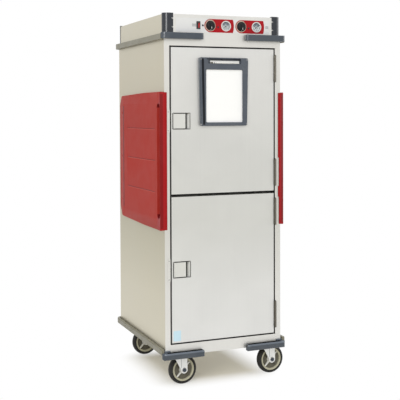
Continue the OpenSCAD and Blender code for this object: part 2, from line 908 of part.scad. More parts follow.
// The rear posts reach down to the body and fill its square corners
module rear_post() {
    corner_post(shell_z);
    translate([0, 0, shell_z]) linear_extrude(bumper_h) difference() {
        rect(side - housing_r, front, side, front + housing_r);
        housing_plan();
    }
}

module corner_posts() color("#5b6268") mirrored_x() {
    corner_post(shell_z + bumper_h);
    mirror([0, 1, 0]) rear_post();
}

// ---------------------------------------------------------------- side panels

// Plan of the right panel: a lip over the front, a slanted grip bar, a flat face and a long bevel at
// the back
module panel_plan() polygon(rounded([
    [[side - lip_w, front - lip_t], 1.5],
    [[side - 4, front - lip_t], 4],
    [[side + panel_out, front + grip_y - 2], 1.8],
    [[side + panel_out, front + bevel_start], 25],
    [[side + panel_edge, front + panel_l - 18], 6],
    [[side + panel_edge, front + panel_l], 2],
    [[side, front + panel_l], 0],
    [[side, front], 0],
    [[side - lip_w, front], 0]
]));

// Outline of a panel in Y and Z, a little lower at the rear
function panel_outline() = rounded([
    [[front - lip_t, panel_z], 10],
    [[front + taper_start, panel_z], 0],
    [[front + panel_l, panel_z + panel_taper], panel_corner_r],
    [[front + panel_l, panel_top - panel_taper], panel_corner_r],
    [[front + taper_start, panel_top], 0],
    [[front - lip_t, panel_top], 10]
]);

// Hollow moulded panel: skin, inner ribs, grip recess and screw seats. notches cuts the lip back
// beside the hinges
module side_panel(notches) {
    skin_in = side + panel_out - panel_t;
    hollow_y0 = front + grip_y + grip_w + panel_t;
    hollow_y1 = front + bevel_start - 25;
    rib_z = [0.27, 0.5, 0.73];
    rib_t = 5;
    hollow_r = 9;
    screw_y = front + 95;
    difference() {
        intersection() {
            translate([0, 0, panel_z]) linear_extrude(panel_h) panel_plan();
            sideways(side - lip_w - over, side + panel_out + over) polygon(panel_outline());
        }
        // Hollow behind the skin, in bays between the ribs
        for (i = [0:3]) {
            low = i == 0 ? panel_z + panel_taper + panel_t : panel_z + panel_h * rib_z[i - 1] + rib_t / 2;
            high = i == 3 ? panel_top - panel_taper - panel_t : panel_z + panel_h * rib_z[i] - rib_t / 2;
            slab(side - over, hollow_y0, low, skin_in, hollow_y1, high);
        }
        // Grip recess with round ends
        sideways(side + panel_out - grip_d, side + panel_out + over) {
            y_mid = front + grip_y + grip_w / 2;
            rect(
                front + grip_y, panel_z + grip_end + grip_w / 2,
                front + grip_y + grip_w, panel_top - grip_end - grip_w / 2
            );
            for (z = [panel_z + grip_end + grip_w / 2, panel_top - grip_end - grip_w / 2])
                translate([y_mid, z]) circle(grip_w / 2);
        }
        // Screw seats along the bevel, and one near the grip
        for (z = [panel_z + panel_screw_inset, panel_z + panel_h / 2, panel_top - panel_screw_inset])
            rod_x(front + bevel_start + 24, z, side + 8, side + panel_out + over, 7);
        rod_x(screw_y, panel_z + panel_h / 2, skin_in - 4, side + panel_out + over, 7);
        // Shallow hollows that show where the ribs are
        for (f = rib_z)
            rod_y(
                side + panel_out + hollow_r - 1.4, panel_z + panel_h * f,
                hollow_y0 + 30, hollow_y1 - 60, hollow_r
            );
        // The margins above and below the field fall away to the edges
        for (end = [[panel_top - grip_end, panel_top + over], [panel_z + grip_end, panel_z - over]])
            upright(front + grip_y + grip_w, front + panel_l + over) polygon([
                [side + panel_out, end[0]],
                [side + panel_out + over, end[0]],
                [side + panel_out + over, end[1]],
                [side + panel_out - panel_fall, end[1]]
            ]);
        if (notches)
            for (z = [hinge_spans[0][1], hinge_spans[1][0]])
                slab(
                    side - lip_w - over, front - lip_t - over, z - 6,
                    side - lip_w + 5, front + over, z + hinge_h + 8
                );
    }
    // Boss for the front screw
    rod_x(screw_y, panel_z + panel_h / 2, side, skin_in - 4, 12);
    difference() {
        rod_x(screw_y, panel_z + panel_h / 2, skin_in - 4, skin_in, 12);
        rod_x(screw_y, panel_z + panel_h / 2, skin_in - 4 - over, skin_in + over, 7);
    }
}

module side_panel_right() color("#a9443f") side_panel(true);

module side_panel_left() color("#a9443f") mirror([1, 0, 0]) side_panel(false);

// ---------------------------------------------------------------- hinges and latches

module knuckle(i, z, bore) difference() {
    translate([pin_x, pin_y, z + i * (knuckle_h + knuckle_gap)]) cylinder(h = knuckle_h, r = knuckle_r);
    if (bore)
        translate([pin_x, pin_y, z - over]) cylinder(h = hinge_h + 2 * over, r = pin_r + pin_play);
}

// Half of a hinge: its leaf lies from x0 to x1, and its knuckles are the ones in list
module hinge_half(z, x0, x1, list, bore) {
    slab(x0, front, z, x1, front + leaf_d, z + hinge_h);
    for (i = list) {
        z0 = z + i * (knuckle_h + knuckle_gap);
        slab(x0, pin_y, z0, x1, front, z0 + knuckle_h);
        knuckle(i, z, bore);
    }
}

module frame_hinges() color("#c9c8c2") for (door = hinge_spans, z = door) {
    hinge_half(z, doorway_right - leaf_t, doorway_right, [0, 2, 4], false);
    translate([pin_x, pin_y, z - 2]) cylinder(h = hinge_h + 4, r = pin_r);
    for (end = [z - 2, z + hinge_h]) translate([pin_x, pin_y, end]) cylinder(h = 2, r = knuckle_r - 1);
}

module door_hinges(spans) for (z = spans) hinge_half(z, door_right, door_right + leaf_t, [1, 3], true);

module upper_door_hinges() color("#c9c8c2") door_hinges(hinge_spans[1]);

module lower_door_hinges() color("#c9c8c2") door_hinges(hinge_spans[0]);

function middle(span) = (span[0] + span[1]) / 2;

// Outline of the latch pocket in X and Y; grow adds the cup's wall
function pocket_outline(grow, front_y) = [
    [pocket_left - grow, front_y], [pocket_right + grow, front_y],
    [pocket_right - pocket_slope + grow, pocket_floor_y + grow],
    [pocket_left - grow, pocket_floor_y + grow]
];

module latch_cup(z) difference() {
    union() {
        upright(front - cup_t, front)
            round_rect(latch_left, z - latch_h / 2, latch_right, z + latch_h / 2, 5);
        translate([0, 0, z - pocket_h / 2 - cup_t]) linear_extrude(pocket_h + 2 * cup_t)
            polygon(pocket_outline(cup_t, front));
    }
    difference() {
        translate([0, 0, z - pocket_h / 2]) linear_extrude(pocket_h)
            polygon(pocket_outline(0, front - cup_t - over));
        // Guides above and below the bolt
        for (s = [-1, 1])
            translate([0, 0, z + s * (bolt_h / 2 + clear + 2)])
                slab(pocket_left, bolt_y, -2, bolt_end + 4, pocket_floor_y + over, 2);
    }
    slab(
        pocket_left - 2 * over, bolt_y - clear, z - bolt_h / 2 - clear,
        pocket_left + over, bolt_y + bolt_d + clear, z + bolt_h / 2 + clear
    );
    translate([crank_x, crank_y, z - latch_h]) cylinder(h = 2 * latch_h, r = paddle_pin_r + pin_play);
}

// Paddle on a barrel at its left edge, with a finger lip at its right and a crank arm behind
module paddle(z) {
    y0 = front - 1.2;
    z0 = z - paddle_h / 2;
    slab(crank_x, y0, z0, crank_x + paddle_w, y0 + paddle_t, z0 + paddle_h);
    slab(crank_x + paddle_w - 3, y0, z0, crank_x + paddle_w, y0 + 11, z0 + paddle_h);
    translate([crank_x, crank_y, z0]) cylinder(h = paddle_h, r = paddle_barrel_r);
    translate([crank_x, crank_y, z - pocket_h / 2 - cup_t])
        cylinder(h = pocket_h + 2 * cup_t, r = paddle_pin_r);
    slab(crank_x - 1.5, crank_y, z - 5, crank_x + 1.5, crank_y + crank_r, z + 5);
}

// Sliding bolt with a notch that the crank arm works in
module bolt(z) difference() {
    slab(
        door_left - bolt_out, bolt_y, z - bolt_h / 2,
        bolt_end, bolt_y + bolt_d, z + bolt_h / 2
    );
    slab(crank_x - 3.2, bolt_y - over, z - 6, crank_x + 2.4, crank_y + crank_r + 0.4, z + 6);
    // Bevelled nose
    translate([door_left - bolt_out, bolt_y, z - bolt_h]) rotate([0, 0, 45])
        slab(-3, -3, 0, 3, 3, 2 * bolt_h);
}

module upper_latch_cup() color("#d8d7d2") latch_cup(middle(upper_door));

module lower_latch_cup() color("#d8d7d2") latch_cup(middle(lower_door));

module upper_paddle() color("#dedcd6") paddle(middle(upper_door));

module lower_paddle() color("#dedcd6") paddle(middle(lower_door));

module upper_bolt() color("#9a9a96") bolt(middle(upper_door));

module lower_bolt() color("#9a9a96") bolt(middle(lower_door));

module strike_plates() color("#c6c5bf") for (door = [upper_door, lower_door]) {
    z = middle(door);
    upright(front - cup_t, front)
        round_rect(doorway_left - strike_w, z - strike_h / 2, doorway_left + strike_t, z + strike_h / 2, 1);
    // Leg along the jamb, with a window for the bolt
    difference() {
        slab(
            doorway_left, front - cup_t / 2, z - strike_h / 2 + 1,
            doorway_left + strike_t, front + strike_d, z + strike_h / 2 - 1
        );
        slab(
            doorway_left - over, bolt_y - 2, z - bolt_h / 2 - 2,
            doorway_left + strike_t + over, bolt_y + bolt_d + 2, z + bolt_h / 2 + 2
        );
    }
}

// ---------------------------------------------------------------- doors

module door_skin(span) difference() {
    z = middle(span);
    slab(door_left, front, span[0], door_right, front + skin_return, span[1]);
    slab(
        door_left + sheet, front + sheet, span[0] + sheet,
        door_right - sheet, front + skin_return + over, span[1] - sheet
    );
    slab(
        pocket_left - cup_t, front - over, z - pocket_h / 2 - cup_t,
        pocket_right + cup_t, front + sheet + over, z + pocket_h / 2 + cup_t
    );
    slab(
        door_left - over, bolt_y - clear, z - bolt_h / 2 - clear,
        door_left + sheet + over, bolt_y + bolt_d + clear, z + bolt_h / 2 + clear
    );
}

// Raised panel of the door's liner, drawn in by d and reaching back to y1
module emboss_block(span, d, y1) {
    m = emboss_margin + d;
    slab(door_left + m, door_back - sheet - over, span[0] + m, door_right - m, y1, span[1] - m);
}

module door_liner(span) difference() {
    union() {
        slab(
            door_left + sheet, door_back - liner_flange, span[0] + sheet,
            door_right - sheet, door_back, span[1] - sheet
        );
        emboss_block(span, 0, door_back + emboss);
    }
    slab(
        door_left + 2 * sheet, door_back - liner_flange - over, span[0] + 2 * sheet,
        door_right - 2 * sheet, door_back - sheet, span[1] - 2 * sheet
    );
    emboss_block(span, sheet, door_back + emboss - sheet);
}

module door_core(span) difference() {
    z = middle(span);
    union() {
        slab(
            door_left + sheet, front + sheet, span[0] + sheet,
            door_right - sheet, door_back - liner_flange, span[1] - sheet
        );
        slab(
            door_left + 2 * sheet, front + sheet, span[0] + 2 * sheet,
            door_right - 2 * sheet, door_back - sheet, span[1] - 2 * sheet
        );
        emboss_block(span, sheet, door_back + emboss - sheet);
    }
    // Space for the latch
    slab(
        door_left, front, z - pocket_h / 2 - cup_t,
        pocket_right + cup_t, pocket_floor_y + cup_t, z + pocket_h / 2 + cup_t
    );
}

// Ring round a door's back, between d0 and d1 in from the door's edge
module door_ring(span, d0, d1) difference() {
    rect(door_left + d0, span[0] + d0, door_right - d0, span[1] - d0);
    rect(door_left + d1, span[0] + d1, door_right - d1, span[1] - d1);
}

module gasket(span) {
    m = 1.5;
    y1 = seal_y - gasket_gap;
    lip_w = gasket_w / 2 - 1.5;
    difference() {
        upright(door_back, y1) door_ring(span, m, m + gasket_w);
        // Groove between the two sealing lips
        upright(y1 - 3, y1 + over) door_ring(span, m + lip_w, m + gasket_w - lip_w);
    }
}

module upper_door_skin() color("#dcdbd8") door_skin(upper_door);

module lower_door_skin() color("#dcdbd8") door_skin(lower_door);

module upper_door_core() color("#e6dcae") door_core(upper_door);

module lower_door_core() color("#e6dcae") door_core(lower_door);

module upper_door_liner() color("#d6d4cc") door_liner(upper_door);

module lower_door_liner() color("#d6d4cc") door_liner(lower_door);

module upper_gasket() color("#3a3a3a") gasket(upper_door);

module lower_gasket() color("#3a3a3a") gasket(lower_door);

// ---------------------------------------------------------------- document holder

// Outline of the holder, a little narrower at its foot, drawn in by d
function holder_outline(d) = rounded([
    [[holder_x - holder_bottom_w / 2 + d, holder_z + d], 9],
    [[holder_x + holder_bottom_w / 2 - d, holder_z + d], 9],
    [[holder_x + holder_top_w / 2 - d, holder_z + holder_h - d], 9],
    [[holder_x - holder_top_w / 2 + d, holder_z + holder_h - d], 9]
]);

module document_holder() color("#5a6069") difference() {
    union() {
        upright(holder_front + 2, front) polygon(holder_outline(0));
        upright(holder_front, holder_front + 2) polygon(holder_outline(2));
    }
    upright(holder_front - over, sheet_slot_y + over)
        round_rect(window_x - window_w / 2, window_z, window_x + window_w / 2, window_z + window_h, 6);
    // Slot for the sheet, open at the left side
    slab(
        holder_x - holder_top_w, sheet_slot_y, sheet_z,
        window_x + sheet_w / 2 + 4, sheet_slot_y + sheet_slot, sheet_z + sheet_h + 6
    );
    upright(holder_front - over, holder_front + trough_d)
        round_rect(trough_x - trough_w / 2, trough_z, trough_x + trough_w / 2, trough_z + trough_h, 6);
    // Finger groove down the left edge
    upright(holder_front - over, holder_front + 2.5)
        polygon([
            [holder_x - holder_bottom_w / 2 + 11, holder_z + 8],
            [holder_x - holder_bottom_w / 2 + 16, holder_z + 8],
            [holder_x - holder_top_w / 2 + 16, holder_z + holder_h - 8],
            [holder_x - holder_top_w / 2 + 11, holder_z + holder_h - 8]
        ]);
    // Hollow behind the sheet's backing
    slab(
        holder_x - holder_bottom_w / 2 + 8, sheet_slot_y + sheet_slot + backing_t, holder_z + 8,
        holder_x + holder_bottom_w / 2 - 8, front + over, trough_z - 6
    );
}

module record_sheet() color("#f4f4f2") {
    y = sheet_slot_y + sheet_slot;
    slab(window_x - sheet_w / 2, y - sheet_t, sheet_z, window_x + sheet_w / 2, y, sheet_z + sheet_h);
}

// Pen lying along the trough, its point to the left
module pen() color("#e8e8e6") {
    x0 = trough_x - pen_l / 2;
    tip_l = 14;
    translate([x0, holder_front + trough_d / 2, trough_z + pen_r + clear]) rotate([0, 90, 0]) {
        cylinder(h = tip_l, r1 = 1, r2 = pen_r);
        translate([0, 0, tip_l]) cylinder(h = pen_l - tip_l - 3, r = pen_r);
        translate([0, 0, pen_l - 3]) cylinder(h = 3, r = pen_r - 1);
    }
}

// ---------------------------------------------------------------- inside the cavities

// Pan slides on uprights, on both sides of the cavity between z0 and z1
module rack(z0, z1) mirrored_x() {
    t = rack_t;
    edge_x = slide_span / 2 + slide_w;
    top = z1 - 20;
    for (y = [-rack_y, rack_y]) {
        y0 = y - rack_w / 2;
        slab(cavity_x - t, y0, z0, cavity_x, y0 + rack_w, top);
        for (s = [0, rack_w - t]) slab(edge_x, y0 + s, z0, cavity_x, y0 + s + t, top);
    }
    for (i = [0:slide_count - 1]) {
        z = z0 + slide_first + i * slide_pitch;
        x1 = edge_x - seat;
        slab(edge_x - slide_w, seal_y + 14, z, x1, cavity_back - 12, z + t);
        slab(x1 - t, seal_y + 14, z, x1, cavity_back - 12, z + slide_lip);
    }
}

module side_racks() color("#c8c6bf") {
    rack(lower_floor, lower_ceiling);
    rack(upper_floor, upper_ceiling);
}

// Slotted cover over a heater on the cavity floor at z
module heater_cover(z) {
    t = 1.5;
    slot = 6;
    pitch = 22;
    x1 = heater_w / 2;
    y1 = cavity_back - 8;
    y0 = y1 - heater_d;
    difference() {
        slab(-x1, y0, z, x1, y1, z + heater_h);
        slab(-x1 + t, y0 + t, z - over, x1 - t, y1 - t, z + heater_h - t);
        // Warm air leaves at the front and the sides
        for (i = [-7:7])
            slab(
                i * pitch - slot, y0 - over, z + pitch,
                i * pitch + slot, y0 + t + over, z + heater_h - pitch
            );
        for (i = [0:5]) {
            y = y0 + 46 + i * pitch;
            slab(-x1 - over, y - slot, z + pitch, x1 + over, y + slot, z + heater_h - pitch);
        }
        // Air intake over the fan
        for (i = [-5:5]) {
            x = i * 10;
            half = sqrt(pow(fan_r - 2, 2) - x * x);
            slab(x - 3, fan_y - half, z + heater_h - t - over, x + 3, fan_y + half, z + heater_h + over);
        }
    }
}

module heater_covers() color("#bdbbb4") for (z = [lower_floor, upper_floor]) heater_cover(z);

// Sheathed element in hairpins, on two brackets, over the floor at z
module heater_element(z) {
    span = (element_rows - 1) * element_pitch;
    for (i = [0:element_rows - 1])
        rod_x(element_y + i * element_pitch, z + element_rise, -element_reach, element_reach, element_r);
    for (i = [0:element_rows - 2]) {
        s = i % 2 == 0 ? 1 : -1;
        translate([s * element_reach, element_y + (i + 0.5) * element_pitch, z + element_rise])
            rotate([0, 0, -s * 90])
                rotate_extrude(angle = 180) translate([element_pitch / 2, 0]) circle(element_r);
    }
    for (x = [-70, 70]) {
        slab(x - 1.5, element_y - 8, z, x + 1.5, element_y + span + 8, z + element_rise);
        slab(x - 8, element_y - 8, z, x + 8, element_y + span + 8, z + 2);
    }
}

module heater_elements() color("#6f6a64") for (z = [lower_floor, upper_floor]) heater_element(z);

module fan_motors() color("#55585a") for (z = [lower_floor, upper_floor]) translate([0, fan_y, z]) {
    cylinder(h = 3, r = motor_flange_r);
    cylinder(h = motor_h, r = motor_r);
    cylinder(h = fan_rise + hub_h + 4, r = fan_shaft_r);
}

// Axial fan with pitched blades round a hub
module fan(z) translate([0, fan_y, z + fan_rise]) {
    blade_w = 22;
    difference() {
        union() {
            cylinder(h = hub_h, r = hub_r);
            for (i = [0:fan_blades - 1])
                rotate([0, 0, i * 360 / fan_blades]) translate([0, 0, hub_h / 2]) rotate([35, 0, 0])
                    translate([hub_r - 4, -blade_w / 2, -0.75]) cube([fan_r - hub_r - 2, blade_w, 1.5]);
        }
        translate([0, 0, -over]) cylinder(h = hub_h + 2 * over, r = fan_shaft_r + pin_play);
    }
}

module upper_fan() color("#a7a9a8") fan(upper_floor);

module lower_fan() color("#a7a9a8") fan(lower_floor);

// ---------------------------------------------------------------- casters

function swivel(i) = [(i % 2 == 0 ? -1 : 1) * swivel_x, (i < 2 ? -1 : 1) * swivel_y];

module at_caster(i) translate([swivel(i).x, swivel(i).y, 0]) rotate([0, 0, caster_turn]) children();

module caster_plates() color("#c3c5c2") difference() {
    for (i = [0:3]) translate([swivel(i).x, swivel(i).y, 0]) {
        translate([0, 0, under_z - plate_t]) linear_extrude(plate_t)
            round_rect(
                -plate_pitch_x / 2 - 11, -plate_pitch_y / 2 - 11,
                plate_pitch_x / 2 + 11, plate_pitch_y / 2 + 11, 6
            );
        translate([0, 0, race_z]) cylinder(h = under_z - plate_t - race_z, r = 30);
        translate([0, 0, yoke_z - 8]) cylinder(h = race_z - yoke_z + 8, r = kingpin_r);
        translate([0, 0, yoke_z - 8]) cylinder(h = 8 - clear, r = 10);
    }
    caster_holes(under_z - plate_t - over, under_z + over);
}

// Outline of a fork's leg in X and Z: broad at the yoke, narrow at the axle
module leg_outline() {
    polygon([
        [-12, yoke_z + yoke_t], [trail + 16, yoke_z + yoke_t],
        [trail + 18, wheel_r], [trail - 17, wheel_r - 5], [trail - 17, wheel_r]
    ]);
    translate([trail, wheel_r]) circle(18);
}

// Fork, with its race and the axle, at the origin of its swivel
module fork() {
    leg_out = leg_in + leg_t;
    difference() {
        union() {
            translate([0, 0, yoke_z]) linear_extrude(yoke_t) {
                circle(30);
                rect(0, -leg_out, trail + 16, leg_out);
            }
            translate([0, 0, yoke_z]) cylinder(h = race_z - clear - yoke_z, r = 26);
        }
        translate([0, 0, yoke_z - over]) cylinder(h = race_z - yoke_z + 2 * over, r = kingpin_r + pin_play);
    }
    for (s = [-1, 1]) {
        upright(s > 0 ? leg_in : -leg_out, s > 0 ? leg_out : -leg_in) leg_outline();
        // Hexagon nut on the axle
        translate([trail, s * (leg_out + 2.5), wheel_r]) rotate([90, 0, 0])
            cylinder(h = 5, r = 10, center = true, $fn = 6);
    }
    rod_y(trail, wheel_r, -leg_out - 8, leg_out + 8, axle_r);
}

// Wheel: a tyre over a webbed core with a hub
module wheel() translate([trail, 0, wheel_r]) rotate([90, 0, 0]) {
    hub_half = leg_in - 0.4;
    half = tyre_w / 2;
    rotate_extrude($fn = 96) polygon(rounded([
        [[rim_r, -half], 3],
        [[wheel_r, -half], 8],
        [[wheel_r, half], 8],
        [[rim_r, half], 3]
    ], 5));
    difference() {
        union() {
            difference() {
                translate([0, 0, -half + 2]) cylinder(h = tyre_w - 4, r = rim_r - seat, $fn = 96);
                for (z = [-half, 5]) translate([0, 0, z]) cylinder(h = half - 5, r = rim_r - 9);
            }
            translate([0, 0, -hub_half]) cylinder(h = 2 * hub_half, r = 19);
            for (a = [45:90:315])
                rotate([0, 0, a]) translate([14, -4, 3 - half]) cube([rim_r - 22, 8, tyre_w - 6]);
        }
        translate([0, 0, -hub_half - over]) cylinder(h = 2 * hub_half + 2 * over, r = axle_r + pin_play);
    }
}

module front_left_fork() color("#d9dadb") at_caster(0) fork();

module front_right_fork() color("#d9dadb") at_caster(1) fork();

module rear_left_fork() color("#d9dadb") at_caster(2) fork();

module rear_right_fork() color("#d9dadb") at_caster(3) fork();

module front_left_wheel() color("#33322e") at_caster(0) wheel();

module front_right_wheel() color("#33322e") at_caster(1) wheel();

module rear_left_wheel() color("#33322e") at_caster(2) wheel();

module rear_right_wheel() color("#33322e") at_caster(3) wheel();

outer_shell();
base_frame();
insulation();
front_frame();
thermal_break();
cavity_liners();
top_housing();
fascia_panel();
thermostats();
upper_knob();
lower_knob();
pilot_lamps();
rocker_bezel();
rocker_switch();
thermometer_cases();
thermometer_lenses();
upper_needle();
lower_needle();
corner_posts();
front_bumpers();
bumper_rails();
side_panel_left();
side_panel_right();
strike_plates();
frame_hinges();
upper_door_skin();
upper_door_core();
upper_door_liner();
upper_gasket();
upper_door_hinges();
upper_latch_cup();
upper_paddle();
upper_bolt();
document_holder();
record_sheet();
pen();
lower_door_skin();
lower_door_core();
lower_door_liner();
lower_gasket();
lower_door_hinges();
lower_latch_cup();
lower_paddle();
lower_bolt();
side_racks();
heater_covers();
heater_elements();
fan_motors();
upper_fan();
lower_fan();
power_inlet();
caster_plates();
front_left_fork();
front_left_wheel();
front_right_fork();
front_right_wheel();
rear_left_fork();
rear_left_wheel();
rear_right_fork();
rear_right_wheel();
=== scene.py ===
# %% [markdown]
# # A heated proofing cabinet, dressed for the camera
# The cabinet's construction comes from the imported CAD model. This script gives every surface its
# finish, and adds the forms that sheet metal, moulded plastic and rubber have in life: rolled edges,
# grained skins, screws, dials and tyres. Each cell is one step, and says why it is done that way.

# %% Load the frame
import json
import math

import bmesh
import bpy
import numpy as np
from mathutils import Matrix, Vector

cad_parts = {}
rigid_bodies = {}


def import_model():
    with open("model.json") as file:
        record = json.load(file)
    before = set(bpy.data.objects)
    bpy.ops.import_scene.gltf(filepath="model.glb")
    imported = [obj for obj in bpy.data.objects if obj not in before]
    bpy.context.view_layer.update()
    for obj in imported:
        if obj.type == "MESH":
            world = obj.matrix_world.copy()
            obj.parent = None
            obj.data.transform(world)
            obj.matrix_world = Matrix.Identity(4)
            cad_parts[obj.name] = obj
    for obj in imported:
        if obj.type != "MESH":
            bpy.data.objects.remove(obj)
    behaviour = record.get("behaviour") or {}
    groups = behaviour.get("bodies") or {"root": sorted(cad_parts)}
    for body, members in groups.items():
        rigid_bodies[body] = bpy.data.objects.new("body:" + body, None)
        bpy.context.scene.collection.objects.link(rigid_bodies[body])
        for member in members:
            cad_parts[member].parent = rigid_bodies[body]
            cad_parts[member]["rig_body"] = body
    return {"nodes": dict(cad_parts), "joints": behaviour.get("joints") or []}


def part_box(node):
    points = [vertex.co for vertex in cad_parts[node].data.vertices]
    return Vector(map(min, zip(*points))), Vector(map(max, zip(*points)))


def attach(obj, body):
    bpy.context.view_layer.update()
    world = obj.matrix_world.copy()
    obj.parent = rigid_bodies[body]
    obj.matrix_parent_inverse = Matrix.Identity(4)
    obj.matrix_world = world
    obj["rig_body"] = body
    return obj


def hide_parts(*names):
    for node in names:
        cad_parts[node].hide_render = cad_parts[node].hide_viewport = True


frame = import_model()
nodes = frame["nodes"]
joints = {joint["name"]: joint for joint in frame["joints"]}
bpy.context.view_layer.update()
MM = 0.001

# %% [markdown]
# ## The camera
# A tall cabinet is best seen from chest height through a long lens. The camera stays almost level,
# so that upright edges stay upright, and the lens is shifted down instead of tilted: that is why
# shift_y is not zero here.

# %% Camera
EYE = Vector((-1.8183, -4.5212, 1.4051))
YAW, PITCH, ROLL = math.radians(22.162), math.radians(1.761), math.radians(-0.210)
LENS_MM, SHIFT_Y = 79.03, -0.1515


def aim(yaw, pitch, roll):
    """Rows are the camera's right, up and backward axes: yaw turns from +Y towards +X, pitch tips
    down, and roll turns the picture about the line of sight."""
    ahead = math.cos(pitch)
    forward = np.array([math.sin(yaw) * ahead, math.cos(yaw) * ahead, -math.sin(pitch)])
    level = np.array([math.cos(yaw), -math.sin(yaw), 0.0])
    upright = np.cross(level, forward)
    right = math.cos(roll) * level + math.sin(roll) * upright
    up = -math.sin(roll) * level + math.cos(roll) * upright
    return np.array([right, up, -forward])


camera = bpy.data.objects.new("camera", bpy.data.cameras.new("camera"))
bpy.context.scene.collection.objects.link(camera)
camera.data.sensor_width = 36.0
camera.data.lens = LENS_MM
camera.data.shift_y = SHIFT_Y
camera.data.clip_end = 100.0
pose = np.eye(4)
pose[:3, :3] = aim(YAW, PITCH, ROLL).T
pose[:3, 3] = EYE
camera.matrix_world = Matrix(pose.tolist())
bpy.context.scene.camera = camera
bpy.context.scene.view_settings.view_transform = "Standard"
print("camera at", tuple(EYE))

# %% [markdown]
# ## Building materials
# One small function adds a shader node and links it. Colours are written the way a paint chart or an
# image editor shows them, as sRGB hex, and a second function turns them into the linear light that
# the renderer works in.


# %% Material helpers
def linear(hex_colour):
    """sRGB hex to linear light: each channel is c / 12.92 below 0.04045 and ((c + 0.055) / 1.055) to
    the power 2.4 above it."""
    c = np.array([int(hex_colour[i:i + 2], 16) for i in (1, 3, 5)]) / 255.0
    c = np.where(c <= 0.04045, c / 12.92, ((c + 0.055) / 1.055) ** 2.4)
    return (*c.tolist(), 1.0)


def add(tree, kind, inputs=None, **settings):
    """Adds a node with its settings; inputs maps a socket to a value or to another node's output."""
    node = tree.nodes.new(kind)
    for key, value in settings.items():
        setattr(node, key, value)
    for key, value in (inputs or {}).items():
        if isinstance(value, bpy.types.NodeSocket):
            tree.links.new(value, node.inputs[key])
        else:
            node.inputs[key].default_value = value
    return node


def finish(name, **sockets):
    """A new material with a Principled shader whose own sockets hold the values that are the same
    all over the surface. Returns the material, its tree and the shader."""
    material = bpy.data.materials.new(name)
    material.use_nodes = True
    tree = material.node_tree
    shader = tree.nodes["Principled BSDF"]
    for key, value in sockets.items():
        shader.inputs[key.replace("_", " ").title().replace("Ior", "IOR")].default_value = value
    return material, tree, shader


def shade(colour, share):
    """A linear colour made brighter or darker by a share, and kept at 1 or below."""
    return tuple(min(1.0, c * share) for c in colour[:3]) + (1.0,)


def mix(tree, amount, first, second, **settings):
    """Colour between two others, or their product when it is set to multiply."""
    inputs = {0: amount, 6: first, 7: second}
    return add(tree, "ShaderNodeMix", inputs, data_type="RGBA", **settings).outputs[2]


def place(tree, scale=(1.0, 1.0, 1.0)):
    """Object coordinates in metres, stretched by scale, so that a pattern has a real size."""
    where = add(tree, "ShaderNodeTexCoord").outputs["Object"]
    return add(tree, "ShaderNodeMapping", {"Vector": where, "Scale": scale}).outputs["Vector"]


def noise(tree, scale, detail, roughness=0.5, distortion=0.0, stretch=(1.0, 1.0, 1.0)):
    """Noise from 0 to 1 with scale blotches a metre; detail adds finer octaves."""
    return add(tree, "ShaderNodeTexNoise", {
        "Vector": place(tree, stretch), "Scale": scale, "Detail": detail, "Roughness": roughness,
        "Distortion": distortion}).outputs["Fac"]


def cells(tree, size_mm, feature="F1"):
    """Cells about size_mm across: the pattern's node."""
    return add(tree, "ShaderNodeTexVoronoi", {"Vector": place(tree), "Scale": 1.0 / (size_mm * MM)},
               feature=feature)


def remap(tree, value, low, high, start=0.0, stop=1.0):
    """Value between start and stop carried to between low and high."""
    inputs = {"Value": value, "From Min": start, "From Max": stop, "To Min": low, "To Max": high}
    return add(tree, "ShaderNodeMapRange", inputs).outputs[0]


def wire(tree, shader, colour, rough=None, height=None, relief=0.0, depth_mm=0.0):
    """Links colour, roughness and a bump of the given strength and depth to the shader."""
    tree.links.new(colour, shader.inputs["Base Color"])
    if rough is not None:
        tree.links.new(rough, shader.inputs["Roughness"])
    if height is not None:
        inputs = {"Height": height, "Strength": relief, "Distance": depth_mm * MM}
        bump = add(tree, "ShaderNodeBump", inputs)
        tree.links.new(bump.outputs[0], shader.inputs["Normal"])


# %% [markdown]
# ## Satin steel
# The body is stainless sheet with a fine directional grain from the mill's abrasive belt. The grain
# itself is far below a millimetre and would only flicker, so it is drawn as streaks a few
# millimetres wide and half a metre long. It changes the roughness and tips the surface slightly,
# which breaks up reflections along the grain. Fingerprints and cloudy wiping marks are a much
# larger, softer pattern on top. Tall sheets also mirror the room as broad bands, dimmer at the
# height of the room's walls and brighter near the floor; a gentle ramp along Z paints that
# reflection into the colour. On the side sheet the ramp is twice as strong, and its dip just
# below the red side panels also paints their shadow.


# %% Satin steel
# Height in metres, and the light there as a share of red, green and blue
ROOM_BANDS = [(0.20, (1.08, 1.08, 1.09)), (0.45, (1.04, 1.04, 1.04)), (0.85, (0.87, 0.87, 0.84)),
              (1.20, (0.87, 0.87, 0.85)), (1.60, (0.98, 0.97, 0.96)), (1.90, (1.03, 1.03, 1.04))]
STREAKS_PER_M = 320.0
UPRIGHT, LEVEL = (1.0, 1.0, 0.004), (1.0, 0.004, 1.0)


def room(tree, mirror):
    """Light against height: heights in metres become places on a ramp that ends at 1.90, and each
    level is 1 + mirror x (level - 1)."""
    height = add(tree, "ShaderNodeSeparateXYZ", {"Vector": place(tree)}).outputs["Z"]
    share = add(tree, "ShaderNodeMath", {0: height, 1: 1.0 / ROOM_BANDS[-1][0]}, operation="MULTIPLY")
    bands = add(tree, "ShaderNodeValToRGB", {"Fac": share.outputs[0]})
    stops = bands.color_ramp.elements
    while len(stops) < len(ROOM_BANDS):
        stops.new(0.5)
    for stop, (z, level) in zip(stops, ROOM_BANDS):
        stop.position = z / ROOM_BANDS[-1][0]
        stop.color = (*(1.0 + mirror * (channel - 1.0) for channel in level), 1.0)
    return bands.outputs["Color"]


